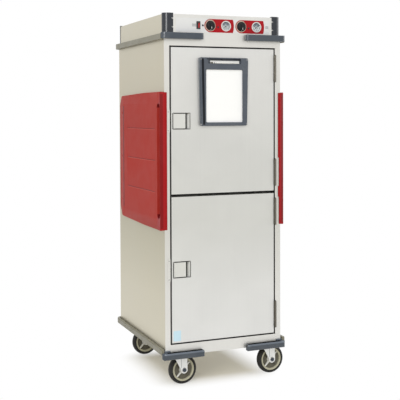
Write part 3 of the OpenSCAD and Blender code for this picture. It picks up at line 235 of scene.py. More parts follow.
def satin_steel(name, hex_colour, grain=UPRIGHT, rough=0.42, cloud=0.06, mirror=0.75):
    """Rolled stainless sheet. grain stretches the streaks: 1 across them and nearly 0 along them;
    cloud is how much the wiping marks dull it, and mirror how much of the room's bands it shows."""
    material, tree, shader = finish(name, metallic=0.75)
    stretch = tuple(STREAKS_PER_M * g for g in grain)
    streaks = noise(tree, 1.0, 3.0, 0.6, stretch=stretch)
    wiping = noise(tree, 5.0, 4.0, 0.55, 0.6)
    base = linear(hex_colour)
    tone = mix(tree, wiping, shade(base, 1.0 - cloud), shade(base, 1.0 + cloud * 0.5))
    lines = remap(tree, streaks, 0.985, 1.01, 0.3, 0.7)
    for share in (lines, room(tree, mirror)):
        tone = mix(tree, 1.0, tone, share, blend_type="MULTIPLY")
    both = add(tree, "ShaderNodeMath", {0: streaks, 1: wiping}, operation="ADD").outputs[0]
    gloss = remap(tree, both, rough - 0.07, rough + 0.08, 0.6, 1.4)
    wire(tree, shader, tone, gloss, streaks, 0.05, 0.3)
    return material


# The side sheet's ramp is twice as strong: painted reflection, and painted shadow just below the red
# side panels.
side_steel = satin_steel("stainless_side_sheet", "#c8c3b1", mirror=1.5)
door_steel = satin_steel("stainless_door_sheet", "#d9d9d6", rough=0.40)
frame_steel = satin_steel("stainless_frame_sheet", "#d9d8d3", rough=0.40)
liner_steel = satin_steel("stainless_liner_sheet", "#d3d1ca", LEVEL, rough=0.35)
print("steel:", side_steel.name, door_steel.name)

# %% [markdown]
# ## Moulded plastic
# The bumpers, posts, side panels and control knobs are injection moulded. Their moulds are etched,
# so the skin is covered with low pebbles that hide scuffs. Two scales of noise make it: the pebbles
# themselves, and a broad unevenness in gloss where hands and walls have rubbed. Pebbles of a
# millimetre would be too fine to show, so they are drawn at two or three.


# %% Moulded plastic
def moulded(name, hex_colour, pebble_mm, rough, relief=0.05, worn=0.01, **sockets):
    """Injection-moulded skin: a pebble pattern of the given size in bump, and rubbed patches that are
    a little paler and glossier."""
    material, tree, shader = finish(name, ior=1.5, **sockets)
    patches = remap(tree, noise(tree, 14.0, 5.0, 0.6, 0.3), 0.0, 1.0, 0.35, 0.7)
    base = linear(hex_colour)
    pale = tuple(c + (0.5 - c) * worn for c in base[:3]) + (1.0,)
    gloss = remap(tree, patches, rough + worn / 2, rough - worn / 2)
    pebbles = cells(tree, pebble_mm, "SMOOTH_F1").outputs["Distance"]
    wire(tree, shader, mix(tree, patches, base, pale), gloss, pebbles, relief, 0.6)
    return material


# Polyethylene is waxy, so it mirrors little
RED = {"specular_ior_level": 0.12}
red_grained = moulded("red_grained_polyethylene", "#a52e25", 3.0, 0.55, relief=0.1, worn=0.02, **RED)
red_smooth = moulded("red_polished_polyethylene", "#971217", 3.0, 0.32, **RED)
# Painted shade in two darker reds: the first for the hand recess, the ribs' upper halves, the bevel
# step and the panels' screw heads, the second for the grip bar's outer side.
red_shaded = moulded("red_polyethylene_undercut", "#6d0d10", 3.0, 0.40, **RED)
red_grip_side_shade = moulded("red_polyethylene_grip", "#7c0e12", 3.0, 0.35, **RED)
# Painted light on the lower halves of the ribs' hollows.
red_painted_light = moulded("red_polyethylene_crest", "#b34238", 3.0, 0.50, **RED)
bumper_grey = moulded("blue_grey_moulded_vinyl", "#3b434d", 2.5, 0.25, worn=0.04)
post_grey = moulded("dark_blue_grey_vinyl", "#1a2029", 2.5, 0.17, relief=0.03, worn=0.02)
# Painted highlight on the lower bumpers' rim, crest and the back wall above their channel.
bumper_highlight_grey = moulded("blue_grey_rubbed_vinyl", "#5d6672", 2.5, 0.30, worn=0.04)
rail_grey = moulded("grey_extruded_vinyl", "#797665", 2.5, 0.42, relief=0.25, worn=0.08)
black_knob = moulded("black_phenolic", "#08080a", 1.5, 0.30, specular_ior_level=0.3)
black_switch = moulded("black_nylon", "#1b1b1c", 1.5, 0.45, relief=0.1, worn=0.03)
holder_grey = moulded("blue_grey_abs", "#444b56", 2.0, 0.28, relief=0.08, worn=0.05)
bezel_white = moulded("white_bezel_enamel", "#cfd1d0", 2.0, 0.30, relief=0.03, worn=0.02)
# Olive for the pen's tip and the wheels' webs, which it also darkens as painted shade, and for the
# ribs in painted shade.
olive_tip_and_web_shade = moulded("olive_nylon_web", "#514d3d", 2.0, 0.45, relief=0.08, worn=0.06)
# Painted shade in the holder's groove and along the ledge under its top edge.
holder_shade_dark = moulded("dark_blue_grey_abs", "#10141b", 2.0, 0.50, worn=0.02, specular_ior_level=0.15)
# Painted shade: the strip in the bumpers' channel, the doors' gaps, the outlines of the latch plates
# and the paddles' pockets.
painted_shade_black = moulded("black_rubber_seal", "#121211", 1.5, 0.80, specular_ior_level=0.05)
latch_grey = moulded("pale_grey_enamel", "#cfd0ce", 1.5, 0.32, worn=0.03)
pen_white = moulded("white_polystyrene", "#e9e9e7", 1.0, 0.25, relief=0.02, worn=0.02)
foam = moulded("cream_urethane_foam", "#e3d9ac", 1.2, 0.85, relief=0.6, worn=0.1)
tyre_black = moulded("black_moulded_tyre", "#191815", 2.0, 0.62, relief=0.3, worn=0.03,
                     specular_ior_level=0.3)
# White for the hubs, and painted light on the lit ribs.
hub_and_lit_rib_white = moulded("white_nylon_hub", "#e2e2df", 2.0, 0.35, worn=0.03)
rim_cream = moulded("cream_nylon_lip", "#b5b29c", 2.0, 0.42, relief=0.08, worn=0.06)
# Black for the door gaskets, and painted shade on the walls of the bumpers' channel.
gasket_and_channel_shade_black = moulded("black_silicone_gasket", "#232322", 1.5, 0.60, relief=0.1, worn=0.04)

# %% [markdown]
# ## Plated and plain metal
# Caster forks are pressed steel with a bright zinc plating. Zinc freezes in crystals, which show as
# faint flat patches of slightly different brightness, so a cell pattern shifts the colour and gloss
# from patch to patch. Turned and cast parts have no grain, only a soft unevenness.


# %% Plated metal
def plated(name, hex_colour, crystal_mm, rough, metal=1.0, spread=0.08):
    """Metal in patches: each cell of the pattern is a little brighter or duller than the next."""
    material, tree, shader = finish(name, metallic=metal)
    crystals = cells(tree, crystal_mm).outputs["Color"]
    patch = add(tree, "ShaderNodeSeparateColor", {"Color": crystals}).outputs[0]
    base = linear(hex_colour)
    gloss = remap(tree, patch, max(0.03, rough - 0.06), rough + 0.06)
    wire(tree, shader, mix(tree, patch, shade(base, 1.0 - spread), base), gloss)
    return material


zinc = plated("bright_zinc_plate", "#e6e7e7", 30.0, 0.35, metal=0.5, spread=0.02)
hinge_steel = plated("worn_hinge_steel", "#68645b", 5.0, 0.35, metal=0.6)
nut_steel = plated("blued_nut_steel", "#36404d", 3.0, 0.30, metal=0.2)
screw_steel = plated("plain_screw_steel", "#b9b8b4", 2.0, 0.25)
fan_aluminium = plated("pressed_aluminium", "#b4b6b6", 9.0, 0.35)
element_steel = plated("heat_darkened_sheath", "#5d564f", 5.0, 0.45, spread=0.3)
motor_enamel = plated("grey_motor_enamel", "#565a5c", 4.0, 0.45, metal=0.1)

# %% [markdown]
# ## Print, paper and glass
# The control zones and dials are screen-printed film: an even colour with the very slight mottle of
# ink. Paper is rougher and has fibres. The thermometer's crystal is clear acrylic, thin and slightly
# domed, so it mostly shows as a highlight.


# %% Print, paper and glass
def printed(name, hex_colour, rough=0.35, mottle=0.03, **sockets):
    """Ink or card: one colour, with a fine mottle a millimetre or two across."""
    material, tree, shader = finish(name, roughness=rough, **sockets)
    base = linear(hex_colour)
    wire(tree, shader, mix(tree, noise(tree, 500.0, 3.0), shade(base, 1.0 - mottle), base))
    return material


zone_red = printed("red_printed_film", "#a3101b", specular_ior_level=0.2)
zone_white = printed("white_printed_film", "#ececea")
fascia_film = printed("pale_grey_film", "#d9dadb")
# Black ink for scales and needles, and painted shade in the screws' cross recesses.
print_and_recess_black = printed("black_ink", "#1c1c1e")
# Grey ink for captions and pen bands, and painted shade along the fork legs' creases.
print_and_crease_grey = printed("grey_ink", "#74777c")
dial_card = printed("dial_card", "#b6babb", rough=0.4)
dial_blue = printed("dial_blue_grey_band", "#67727d", rough=0.4)
scale_cream = printed("cream_scale_ink", "#cfc8b4")
sheet_paper = printed("record_paper", "#f3f4f6", rough=0.8, mottle=0.02)
sticker_blue = printed("pale_blue_sticker", "#c3e0f0", rough=0.3)
lamp_dark = printed("unlit_lamp_lens", "#2c1616", rough=0.12)
rocker_red = printed("lit_rocker", "#9c171b", rough=0.2, emission_color=linear("#d01414"),
                     emission_strength=0.1)
glass, _, _ = finish("clear_acrylic", base_color=linear("#ffffff"), roughness=0.03, ior=1.49,
                     transmission_weight=1.0, alpha=0.35)
print(len(bpy.data.materials), "materials")

# %% Finishes of the CAD nodes
FINISHES = {
    side_steel: ["outer_shell", "base_frame", "top_housing"],
    frame_steel: ["front_frame", "strike_plates"],
    door_steel: ["upper_door_skin", "lower_door_skin"],
    liner_steel: ["cavity_liners", "upper_door_liner", "lower_door_liner", "side_racks",
                  "heater_covers"],
    foam: ["insulation", "upper_door_core", "lower_door_core"],
    hinge_steel: ["frame_hinges", "upper_door_hinges", "lower_door_hinges", "upper_bolt",
                  "lower_bolt"],
    latch_grey: ["upper_latch_cup", "lower_latch_cup", "upper_paddle", "lower_paddle"],
    red_grained: ["side_panel_left", "side_panel_right"],
    bumper_grey: ["corner_posts", "front_bumpers"],
    rail_grey: ["bumper_rails"],
    fascia_film: ["fascia_panel"],
    black_knob: ["upper_knob", "lower_knob"],
    black_switch: ["rocker_bezel", "rocker_switch", "power_inlet", "thermal_break"],
    lamp_dark: ["pilot_lamps"],
    bezel_white: ["thermometer_cases"],
    glass: ["thermometer_lenses"],
    print_and_recess_black: ["upper_needle", "lower_needle"],
    gasket_and_channel_shade_black: ["upper_gasket", "lower_gasket"],
    holder_grey: ["document_holder"],
    sheet_paper: ["record_sheet"],
    pen_white: ["pen"],
    element_steel: ["heater_elements"],
    motor_enamel: ["fan_motors", "thermostats"],
    fan_aluminium: ["upper_fan", "lower_fan"],
    zinc: ["caster_plates"] + [name for name in nodes if name.endswith("_fork")],
    tyre_black: [name for name in nodes if name.endswith("_wheel")],
}
for material, names in FINISHES.items():
    for name in names:
        nodes[name].data.materials.clear()
        nodes[name].data.materials.append(material)
print(sum(len(names) for names in FINISHES.values()), "of", len(nodes), "nodes finished")

# %% [markdown]
# ## Surfaces from numbers
# Every added piece is a grid of points worked out with numpy, rows along one parameter and columns
# along another, with square faces between neighbours. Whole arrays are computed at once. A turned
# piece is a profile carried round an axis, and a rail or bumper is a section carried along a path.


# %% Mesh helpers
def grid(points, wrap_rows=False, wrap_cols=False, ends=False):
    """Points (rows, columns, 3) and the squares between neighbours: corner k of square (i, j) is row
    i or i + 1 times the number of columns, plus column j or j + 1. Wrapping joins last to first, and
    ends closes the first and last rows with one face each."""
    rows, cols = points.shape[:2]
    i, j = np.meshgrid(np.arange(rows - (not wrap_rows)), np.arange(cols - (not wrap_cols)),
                       indexing="ij")
    below, right = (i + 1) % rows, (j + 1) % cols
    corners = [i * cols + j, i * cols + right, below * cols + right, below * cols + j]
    faces = np.stack(corners, -1).reshape(-1, 4).tolist()
    if ends:
        faces += [list(range(cols))[::-1], list(range((rows - 1) * cols, rows * cols))]
    return points.reshape(-1, 3), faces


def piece(name, parts, material, body, stands_for=(), crease=35.0):
    """One object from several grids in millimetres: doubles are merged, faces turned outwards, and
    only edges sharper than crease degrees stay sharp."""
    starts = np.cumsum([0] + [len(points) for points, _ in parts])
    points = np.concatenate([points for points, _ in parts]) * MM
    faces = [[start + k for k in face] for (_, part), start in zip(parts, starts) for face in part]
    mesh = bpy.data.meshes.new(name)
    mesh.from_pydata(points.tolist(), [], faces)
    made = bpy.data.objects.new(name, mesh)
    return dress(made, material, body, stands_for, crease)


def dress(made, material, body, stands_for, crease):
    """Merges doubles, turns faces outwards, shades, and hangs the piece on its body."""
    work = bmesh.new()
    work.from_mesh(made.data)
    bmesh.ops.remove_doubles(work, verts=work.verts, dist=1e-6)
    bmesh.ops.recalc_face_normals(work, faces=work.faces)
    work.to_mesh(made.data)
    work.free()
    made.data.shade_smooth()
    made.data.set_sharp_from_angle(angle=math.radians(crease))
    made.data.materials.clear()
    made.data.materials.append(material)
    bpy.context.scene.collection.objects.link(made)
    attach(made, body)
    if stands_for:
        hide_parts(*stands_for)
    return made


def oblong(x0, y0, x1, y1):
    """The four corners of a rectangle, starting at (x0, y0)."""
    return [(x0, y0), (x1, y0), (x1, y1), (x0, y1)]


def rounded(corners, radii, steps=6):
    """Outline with its corners rounded. Each arc is centred where both sides are one radius away, at
    radius / sin(half the corner's angle) along the corner's bisector, and runs between the points
    where it touches the sides."""
    p = np.asarray(corners, float)
    radius = np.broadcast_to(np.asarray(radii, float), len(p)).copy()
    before, after = np.roll(p, 1, 0) - p, np.roll(p, -1, 0) - p
    before /= np.linalg.norm(before, axis=1, keepdims=True)
    after /= np.linalg.norm(after, axis=1, keepdims=True)
    half = np.arccos(np.clip((before * after).sum(1), -1, 1)) / 2
    bisector = before + after
    bisector /= np.maximum(np.linalg.norm(bisector, axis=1, keepdims=True), 1e-9)
    centre = p + bisector * (radius / np.sin(half))[:, None]
    start = p + before * (radius / np.tan(half))[:, None] - centre
    stop = p + after * (radius / np.tan(half))[:, None] - centre
    a0 = np.arctan2(start[:, 1], start[:, 0])
    turn = (np.arctan2(stop[:, 1], stop[:, 0]) - a0 + np.pi) % (2 * np.pi) - np.pi
    angle = a0[:, None] + turn[:, None] * np.linspace(0, 1, steps + 1)
    arcs = centre[:, None] + radius[:, None, None] * np.stack([np.cos(angle), np.sin(angle)], -1)
    return arcs.reshape(-1, 2)


def turned(profile, centre, axis, steps=64, ring=False, ripple=None):
    """Profile of (radius, distance) turned about an axis: centre + axis x distance + radius x (cos a
    x side + sin a x up). ripple scales the radius by a function of the angle, and ring joins the
    profile's last point to its first."""
    profile = np.asarray(profile, float)
    axis = np.asarray(axis, float) / np.linalg.norm(axis)
    side = np.cross((0, 0, 1) if abs(axis[2]) < 0.9 else (0, 1, 0), axis)
    side = side / np.linalg.norm(side)
    angle = np.linspace(0, 2 * np.pi, steps, endpoint=False)
    spokes = np.cos(angle)[:, None] * side + np.sin(angle)[:, None] * np.cross(axis, side)
    radius = profile[:, :1] * (np.ones(steps) if ripple is None else ripple(angle))
    points = np.asarray(centre) + axis * profile[:, 1][:, None, None] + radius[..., None] * spokes
    return grid(points, wrap_rows=ring, wrap_cols=True)


def extruded(outline, low, high, axis="y"):
    """Flat outline made solid between two heights along an axis; the outline's two numbers are the
    other two coordinates, in the order X, Y, Z."""
    outline = np.asarray(outline, float)
    k = "xyz".index(axis)
    layers = [np.insert(outline, k, level, axis=1) for level in (low, high)]
    return grid(np.stack(layers), wrap_cols=True, ends=True)


def body_of(node):
    """The body that a CAD node rides on."""
    return nodes[node]["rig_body"]


def roll_edges(made, width_mm, crease, segments):
    """A narrow round along every edge that is sharper than crease degrees."""
    edge = made.modifiers.new("rolled_edges", "BEVEL")
    edge.width, edge.segments = width_mm * MM, segments
    edge.limit_method, edge.angle_limit = "ANGLE", math.radians(crease)


def softened(node, width_mm, material, crease=30.0):
    """A CAD solid with its edges rolled over: a merged copy whose flat faces are whole again, with a
    narrow round along every edge sharper than crease degrees."""
    copy = bpy.data.objects.new(node + "_dressed", nodes[node].data.copy())
    work = bmesh.new()
    work.from_mesh(copy.data)
    bmesh.ops.remove_doubles(work, verts=work.verts, dist=1e-5)
    bmesh.ops.dissolve_limit(work, angle_limit=math.radians(1.0), verts=work.verts, edges=work.edges)
    work.to_mesh(copy.data)
    work.free()
    dress(copy, material, body_of(node), (node,), crease)
    roll_edges(copy, width_mm, crease, segments=3)
    return copy


def low_high(node):
    """Lowest and highest corner of a CAD node, in millimetres."""
    low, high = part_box(node)
    return np.array(low) / MM, np.array(high) / MM


def pivot(joint):
    """A joint's place, in millimetres."""
    return np.array(joints[joint]["pos_m"]) / MM


FRONT = low_high("front_frame")[0][1]
SIDE = low_high("outer_shell")[1][0]
FASCIA = low_high("fascia_panel")[0][1]
CONTROL_Z = pivot("upper_knob_turn")[2]
OUTWARD = (0, -1, 0)
ZONES = ("upper", "lower")
CASTERS = [name[:-len("_fork")] for name in nodes if name.endswith("_fork")]
DOOR_MIDDLES = {door: pivot(door + "_paddle_pull")[2] for door in ZONES}
print("helpers ready; the front is at", FRONT, "and the controls at", CONTROL_Z)

# %% [markdown]
# ## Rolled edges
# No real edge is perfectly sharp. The CAD solids that show their edges are copied, their triangles
# are merged back into whole faces, and a narrow round is run along every sharp edge, because that
# round is what catches a thin line of light. Sheet metal gets a tight one, moulded plastic a soft
# one. Each copy stands for its CAD node and rides on the same body.

# %% Rolled edges
EDGE_MM = {
    bumper_grey: {"front_bumpers": 2.2},
    post_grey: {"corner_posts": 0.7},
    rail_grey: {"bumper_rails": 1.2},
    holder_grey: {"document_holder": 1.4},
    latch_grey: {"upper_latch_cup": 0.7, "lower_latch_cup": 0.7, "upper_paddle": 0.9,
                 "lower_paddle": 0.9},
    zinc: {k + "_fork": 0.8 for k in CASTERS} | {"caster_plates": 0.6},
    door_steel: {"upper_door_skin": 0.9, "lower_door_skin": 0.9},
    side_steel: {"top_housing": 1.6},
    frame_steel: {"strike_plates": 0.3},
    black_switch: {"rocker_bezel": 0.6, "rocker_switch": 0.5},
    bezel_white: {"thermometer_cases": 0.8},
    red_smooth: {"side_panel_left": 1.6, "side_panel_right": 1.6},
}
rolled = {node: softened(node, width, material) for material, widths in EDGE_MM.items()
          for node, width in widths.items()}


def repaint(node, material, where):
    """A second material for the faces whose centre, in millimetres, and normal pass a test."""
    mesh = rolled[node].data
    mesh.materials.append(material)
    centres, normals = np.empty(len(mesh.polygons) * 3), np.empty(len(mesh.polygons) * 3)
    mesh.polygons.foreach_get("center", centres)
    mesh.polygons.foreach_get("normal", normals)
    chosen = where(centres.reshape(-1, 3) / MM, normals.reshape(-1, 3))
    index = np.empty(len(mesh.polygons), np.int32)
    mesh.polygons.foreach_get("material_index", index)
    mesh.polygons.foreach_set("material_index", np.where(chosen, len(mesh.materials) - 1, index))


# The panels' broad field is grained, while the grip bar is polished by hands; its back and its outer
# side are painted darker as shade. The housing's face is the same sheet as the front frame.
GRIP_BACK, GRIP_FACE, GRIP_EDGE = FRONT + 50, FRONT + 8.5, FRONT + 7
panel_x = low_high("side_panel_right")[1][0]


def grip_back(centre, normal):
    """The hand recess, painted as shade: behind the grip bar's face, but not its outer side."""
    between = (centre[:, 1] < GRIP_BACK) & (centre[:, 1] > GRIP_FACE)
    return between & (abs(centre[:, 0]) < panel_x - 1)


for node in ("side_panel_left", "side_panel_right"):
    repaint(node, red_grained, lambda centre, normal: centre[:, 1] > GRIP_BACK)
    repaint(node, red_shaded, grip_back)
    repaint(node, red_grip_side_shade, lambda centre, normal:
            (centre[:, 1] < GRIP_EDGE) & (abs(normal[:, 0]) > 0.5))
repaint("top_housing", frame_steel, lambda centre, normal: normal[:, 1] < -0.7)

# %% [markdown]
# The lower bumpers have a channel along their top. Its near wall ends in a soft crest, so the wall's
# last centimetre leans in: inwards in plan by 4.6 mm x the square of the share of that height. The
# level rim, the crest and the back wall above the channel are painted paler as a highlight, and the
# channel's walls are painted dark as shade.

# %% Crest and channel of the lower bumpers
low, high = low_high("front_bumpers")
RIM_Z = low[2] + 34
CREST, LEAN = 10.0, 4.6
CHANNEL_Y, CHANNEL_HALF = low[1] + 14.5, 7.3


def rows_cut(node, heights):
    """Cuts a dressed node's faces along level planes, so that its walls can be bent there."""
    work = bmesh.new()
    work.from_mesh(rolled[node].data)
    for z in heights:
        bmesh.ops.bisect_plane(work, geom=[*work.verts, *work.edges, *work.faces], dist=1e-6,
                               plane_co=(0, 0, z * MM), plane_no=(0, 0, 1))
    work.to_mesh(rolled[node].data)
    work.free()


rows_cut("front_bumpers", [RIM_Z - CREST * k for k in (1.0, 0.75, 0.5, 0.25)] + [RIM_Z + 4.0])
mesh = rolled["front_bumpers"].data
points, outwards = np.empty(len(mesh.vertices) * 3), np.empty(len(mesh.vertices) * 3)
mesh.vertices.foreach_get("co", points)
mesh.vertex_normals.foreach_get("vector", outwards)
points, outwards = points.reshape(-1, 3) / MM, outwards.reshape(-1, 3)
across, height = abs(points[:, 0]), points[:, 2]
inner_end = across[height < RIM_Z].min()
near_wall = ((points[:, 1] < low[1] + 6.0) | (across < inner_end + 6.0)) & (across < SIDE + 40)
arch = near_wall & (height > RIM_Z - CREST - 0.01) & (height < RIM_Z + 0.01)
plan = outwards[:, :2] / np.maximum(np.linalg.norm(outwards[:, :2], axis=1, keepdims=True), 1e-6)
lean = LEAN * np.clip((height - RIM_Z + CREST) / CREST, 0, 1) ** 2
points[:, :2] -= plan * (lean * arch)[:, None]
mesh.vertices.foreach_set("co", (points * MM).ravel())
mesh.update()


def rubbed(centre, normal):
    """The faces painted paler as a highlight: the level rim, the crest that leans, and the back wall
    above the channel.
    """
    z, upward = centre[:, 2], normal[:, 2]
    rim = (upward > 0.5) & (z > RIM_Z - 1)
    crest = (abs(upward) > 0.15) & (z > RIM_Z - CREST)
    back = (z > RIM_Z + 4) & (normal[:, 1] < -0.5)
    return (z < RIM_Z + 12) & (rim | crest | back)


def channel(centre, normal):
    """The channel's upright walls, painted dark as shade."""
    inside = (abs(centre[:, 1] - CHANNEL_Y) < CHANNEL_HALF) & (abs(centre[:, 0]) < SIDE - 3)
    return inside & (abs(centre[:, 2] - RIM_Z + 3) < 6.8) & (abs(normal[:, 2]) < 0.9)


repaint("front_bumpers", bumper_highlight_grey, rubbed)
repaint("front_bumpers", gasket_and_channel_shade_black, channel)
print(len(rolled), "nodes with rolled edges")

# %% [markdown]
# ## Caster wheels
# A wheel is turned about its axle: a rubber tyre with a crowned tread, and a nylon wheel with a
# broad cream rim, a deep channel, a thin olive web darkened further as painted shade of the channel,
# and a long white hub. Four ribs stiffen the web on each face: two take the hub's white as painted
# light and two the web's olive as painted shade. The fork's legs are pressed from sheet, with a
# crease down each of them, drawn as a grey line of painted shade.


# %% Caster wheels
def both_faces(profile):
    """A profile of (radius, distance from the middle) from the rim inwards on one face, and back
    outwards on the other."""
    profile = np.asarray(profile, float)
    return np.concatenate([profile, profile[::-1] * np.array([1, -1])])


def spun(part, centre, axis, turn):
    """Part drawn in the wheel's own frame, X across and Z up with Y along the axle: turned about the
    axle by turn, then set on the wheel's centre."""
    axis = np.asarray(axis, float) / np.linalg.norm(axis)
    across = np.cross((0, 0, 1), axis)
    x = math.cos(turn) * across + math.sin(turn) * np.array([0, 0, 1.0])
    z = -math.sin(turn) * across + math.cos(turn) * np.array([0, 0, 1.0])
    return part[0] @ np.stack([x, axis, z]) + centre, part[1]


TYRE = both_faces([(60.1, 15.5), (60.6, 17.2), (63, 18), (65.5, 17.8), (66.4, 17.1), (67.3, 17.5),
                   (70.5, 16.4), (73.4, 13.6), (75.0, 9.8), (75.8, 5.0), (76.0, 1.2)])
LIP = both_faces([(60.0, 14.6), (59.6, 16.2), (58.4, 16.8), (56.8, 15.6), (54.6, 15.2),
                  (52.6, 16.0), (51.2, 15.6), (50.4, 13.5), (50.0, 8.0)])
WEB = both_faces([(50.5, 8.4), (46.0, 6.4), (32.0, 5.2), (22.5, 6.0), (20.0, 6.2)])
HUB = both_faces([(21.5, 5.0), (20.4, 8.5), (19.4, 14.0), (18.8, 22.6), (17.8, 23.4), (9.5, 23.4),
                  (8.5, 22.4)])
WASHER = [(0, 28.6), (12.6, 28.6), (13.0, 28.2), (13.0, 26.8), (0, 26.8)]
RIB = rounded([(18.5, -3.6), (50.5, -2.6), (50.5, 2.6), (18.5, 3.6)], 0.6, steps=2)
CREASE = rounded(oblong(-18.4, 14, -16.6, 62), 0.7, steps=3)

for k in CASTERS:
    hub = pivot(k + "_roll")
    axle = joints[k + "_roll"]["axis"]
    wheel, fork = k + "_wheel", body_of(k + "_fork")
    # Two ribs of four take the white hub's colour as painted light; the others take the web's dim
    # olive as painted shade
    lit, dim = [[spun(extruded(RIB, s * 4.6, s * 14.6), hub, axle, math.radians(turn + 180 * i))
                 for i in range(2) for s in (-1, 1)] for turn in (45, 135)]
    rings = [("_tyre", TYRE, 96, [], tyre_black), ("_rim", LIP, 96, [], rim_cream),
             ("_web", WEB, 72, dim, olive_tip_and_web_shade), ("_hub", HUB, 72, lit, hub_and_lit_rib_white)]
    for part, profile, steps, ribs, material in rings:
        piece(k + part, [turned(profile, hub, axle, steps, ring=True)] + ribs, material, wheel,
              [wheel] if profile is TYRE else ())
    washers = [turned([(r, s * d) for r, d in WASHER], hub, axle, 40) for s in (-1, 1)]
    piece(k + "_axle_washers", washers, screw_steel, fork)
    repaint(k + "_fork", nut_steel, lambda centre, normal:
            abs((centre - hub) @ np.array(axle)) > 28.0)
    # The shade in each leg's crease is painted as a grey line.
    creases = [spun(extruded(CREASE, s * 27.3, s * 27.7), hub, axle, 0.0) for s in (-1, 1)]
    piece(k + "_creases", creases, print_and_crease_grey, fork)
print(len(CASTERS), "casters dressed")

# %% [markdown]
# ## Control panel
# Two red zones are printed on the fascia's film, each with a knob on the left and a thermometer on
# the right. A zone's left end is half a circle about its knob, and its right end bulges slightly.
# The knobs have a fluted body on a skirt, a grip bar across it, and a white pointer.


# %% Control zones
def zone_outline(knob_x, right):
    """Half a circle of radius h about the knob, then straight edges, then an arc whose sagitta is s:
    its radius is (h^2 + s^2) / 2s."""
    h, s = 34.0, 5.5
    radius = (h * h + s * s) / (2 * s)
    left = np.linspace(np.pi / 2, 3 * np.pi / 2, 32)
    bulge = np.linspace(-np.arcsin(h / radius), np.arcsin(h / radius), 14)
    left = np.stack([knob_x + 1 + h * np.cos(left), CONTROL_Z + h * np.sin(left)], -1)
    bulge = np.stack([right - radius + radius * np.cos(bulge),
                      CONTROL_Z + radius * np.sin(bulge)], -1)
    return np.concatenate([left, bulge])


def plate(outline, centre, hole, low, high, steps=180):
    """Convex outline with a round hole, made solid. Seen from the hole's centre in direction d, the
    outline lies where the nearest edge is crossed: the least n.(p - c) / n.d of edges facing d."""
    c = np.array([centre[0], centre[2]])
    edges = np.roll(outline, -1, 0) - outline
    normal = np.stack([edges[:, 1], -edges[:, 0]], -1)
    normal *= np.sign((normal * (outline - c)).sum(1))[:, None]
    angle = np.linspace(0, 2 * np.pi, steps, endpoint=False)
    d = np.stack([np.cos(angle), np.sin(angle)], -1)
    facing = d @ normal.T
    crossing = (normal * (outline - c)).sum(1) / np.maximum(facing, 1e-9)
    reach = np.where(facing > 1e-9, crossing, np.inf).min(1)
    loops = [(reach, high), (hole, high), (hole, low), (reach, low)]
    rows = [np.insert(c + d * np.broadcast_to(r, steps)[:, None], 1, FASCIA - level, axis=1)
            for r, level in loops]
    return grid(np.stack(rows), wrap_rows=True, wrap_cols=True)


def raised(outline, centre, low, high):
    """Outline about a centre on the fascia, made solid between two distances out of it."""
    return extruded(np.array(outline) + centre[[0, 2]], FASCIA - high, FASCIA - low)


def ticks(centre, inner, outer, count, sweep, width, level, long_every, longer):
    """Radial marks over a sweep of degrees, open at the bottom; some start nearer the centre."""
    marks = []
    for i, angle in enumerate(np.radians(np.linspace(270 - sweep / 2, -90 + sweep / 2, count))):
        reach = inner - (longer if i % long_every == 0 else 0)
        along = np.array([np.cos(angle), np.sin(angle)])
        across = np.array([-along[1], along[0]])
        outline = [along * r + across * w for r, w in oblong(reach, -width / 2, outer, width / 2)]
        marks.append(raised(outline, centre, level - 0.25, level))
    return marks


on_fascia = {zone: np.array([pivot(zone + "_knob_turn")[0], FASCIA, CONTROL_Z]) for zone in ZONES}
dials = {zone: np.array([pivot(zone + "_needle_sweep")[0], FASCIA, CONTROL_Z]) for zone in ZONES}
zones = [plate(zone_outline(on_fascia[zone][0], dials[zone][0] + 45), dials[zone], 26.0, 0.02, 0.3)
         for zone in ZONES]
piece("control_zones", zones, zone_red, "cabinet")
rings = [turned(oblong(25.6, 0.2, 28.6, 0.5), on_fascia[zone], OUTWARD, 64, ring=True)
         for zone in ZONES]
marks = [mark for zone in ZONES
         for mark in ticks(on_fascia[zone], 29.6, 31.4, 21, 300, 0.7, 0.5, 2, 0.0)]
piece("control_scales", rings + marks, scale_cream, "cabinet")

# %% Knobs
SKIRT = [(0, 1.0), (24.0, 1.0), (25.0, 1.7), (24.8, 5.2), (23.8, 6.0), (19.0, 6.6), (0, 6.6)]
CROWN = [(0, 6.0), (19.4, 6.0), (18.9, 8.0), (18.4, 12.0), (17.2, 13.1), (15.0, 13.4), (0, 13.4)]
for zone in ZONES:
    centre = on_fascia[zone]
    crown = turned(CROWN, centre, OUTWARD, 144, ripple=lambda a: 1 + 0.018 * np.cos(18 * a))
    bar = rounded(oblong(-5, -20, 5, 20), 4.6)
    base, top = raised(bar, centre, 13, 16.5), raised(bar * 0.86, centre, 16.4, 18.9)
    knob = zone + "_knob"
    skirt = turned(SKIRT, centre, OUTWARD, 72)
    made = piece(knob + "_body", [skirt, crown, base, top], black_knob, knob,
                 [knob], crease=50)
    roll_edges(made, 0.5, 50, segments=2)
    marks = [raised(rounded(oblong(-1.1, -16.5, 1.1, -7), 0.8, 3), centre, 18.7, 19.15),
             raised(rounded(oblong(-1.5, -23.4, 1.5, -20.4), 0.9, 3), centre, 5.6, 6.7)]
    piece(knob + "_pointer", marks, zone_white, knob)

# %% [markdown]
# The thermometers have a pale dial behind a domed crystal. A darker blue-grey band covers the
# upper part of the dial, and the needle is the CAD's own, so that it still turns.

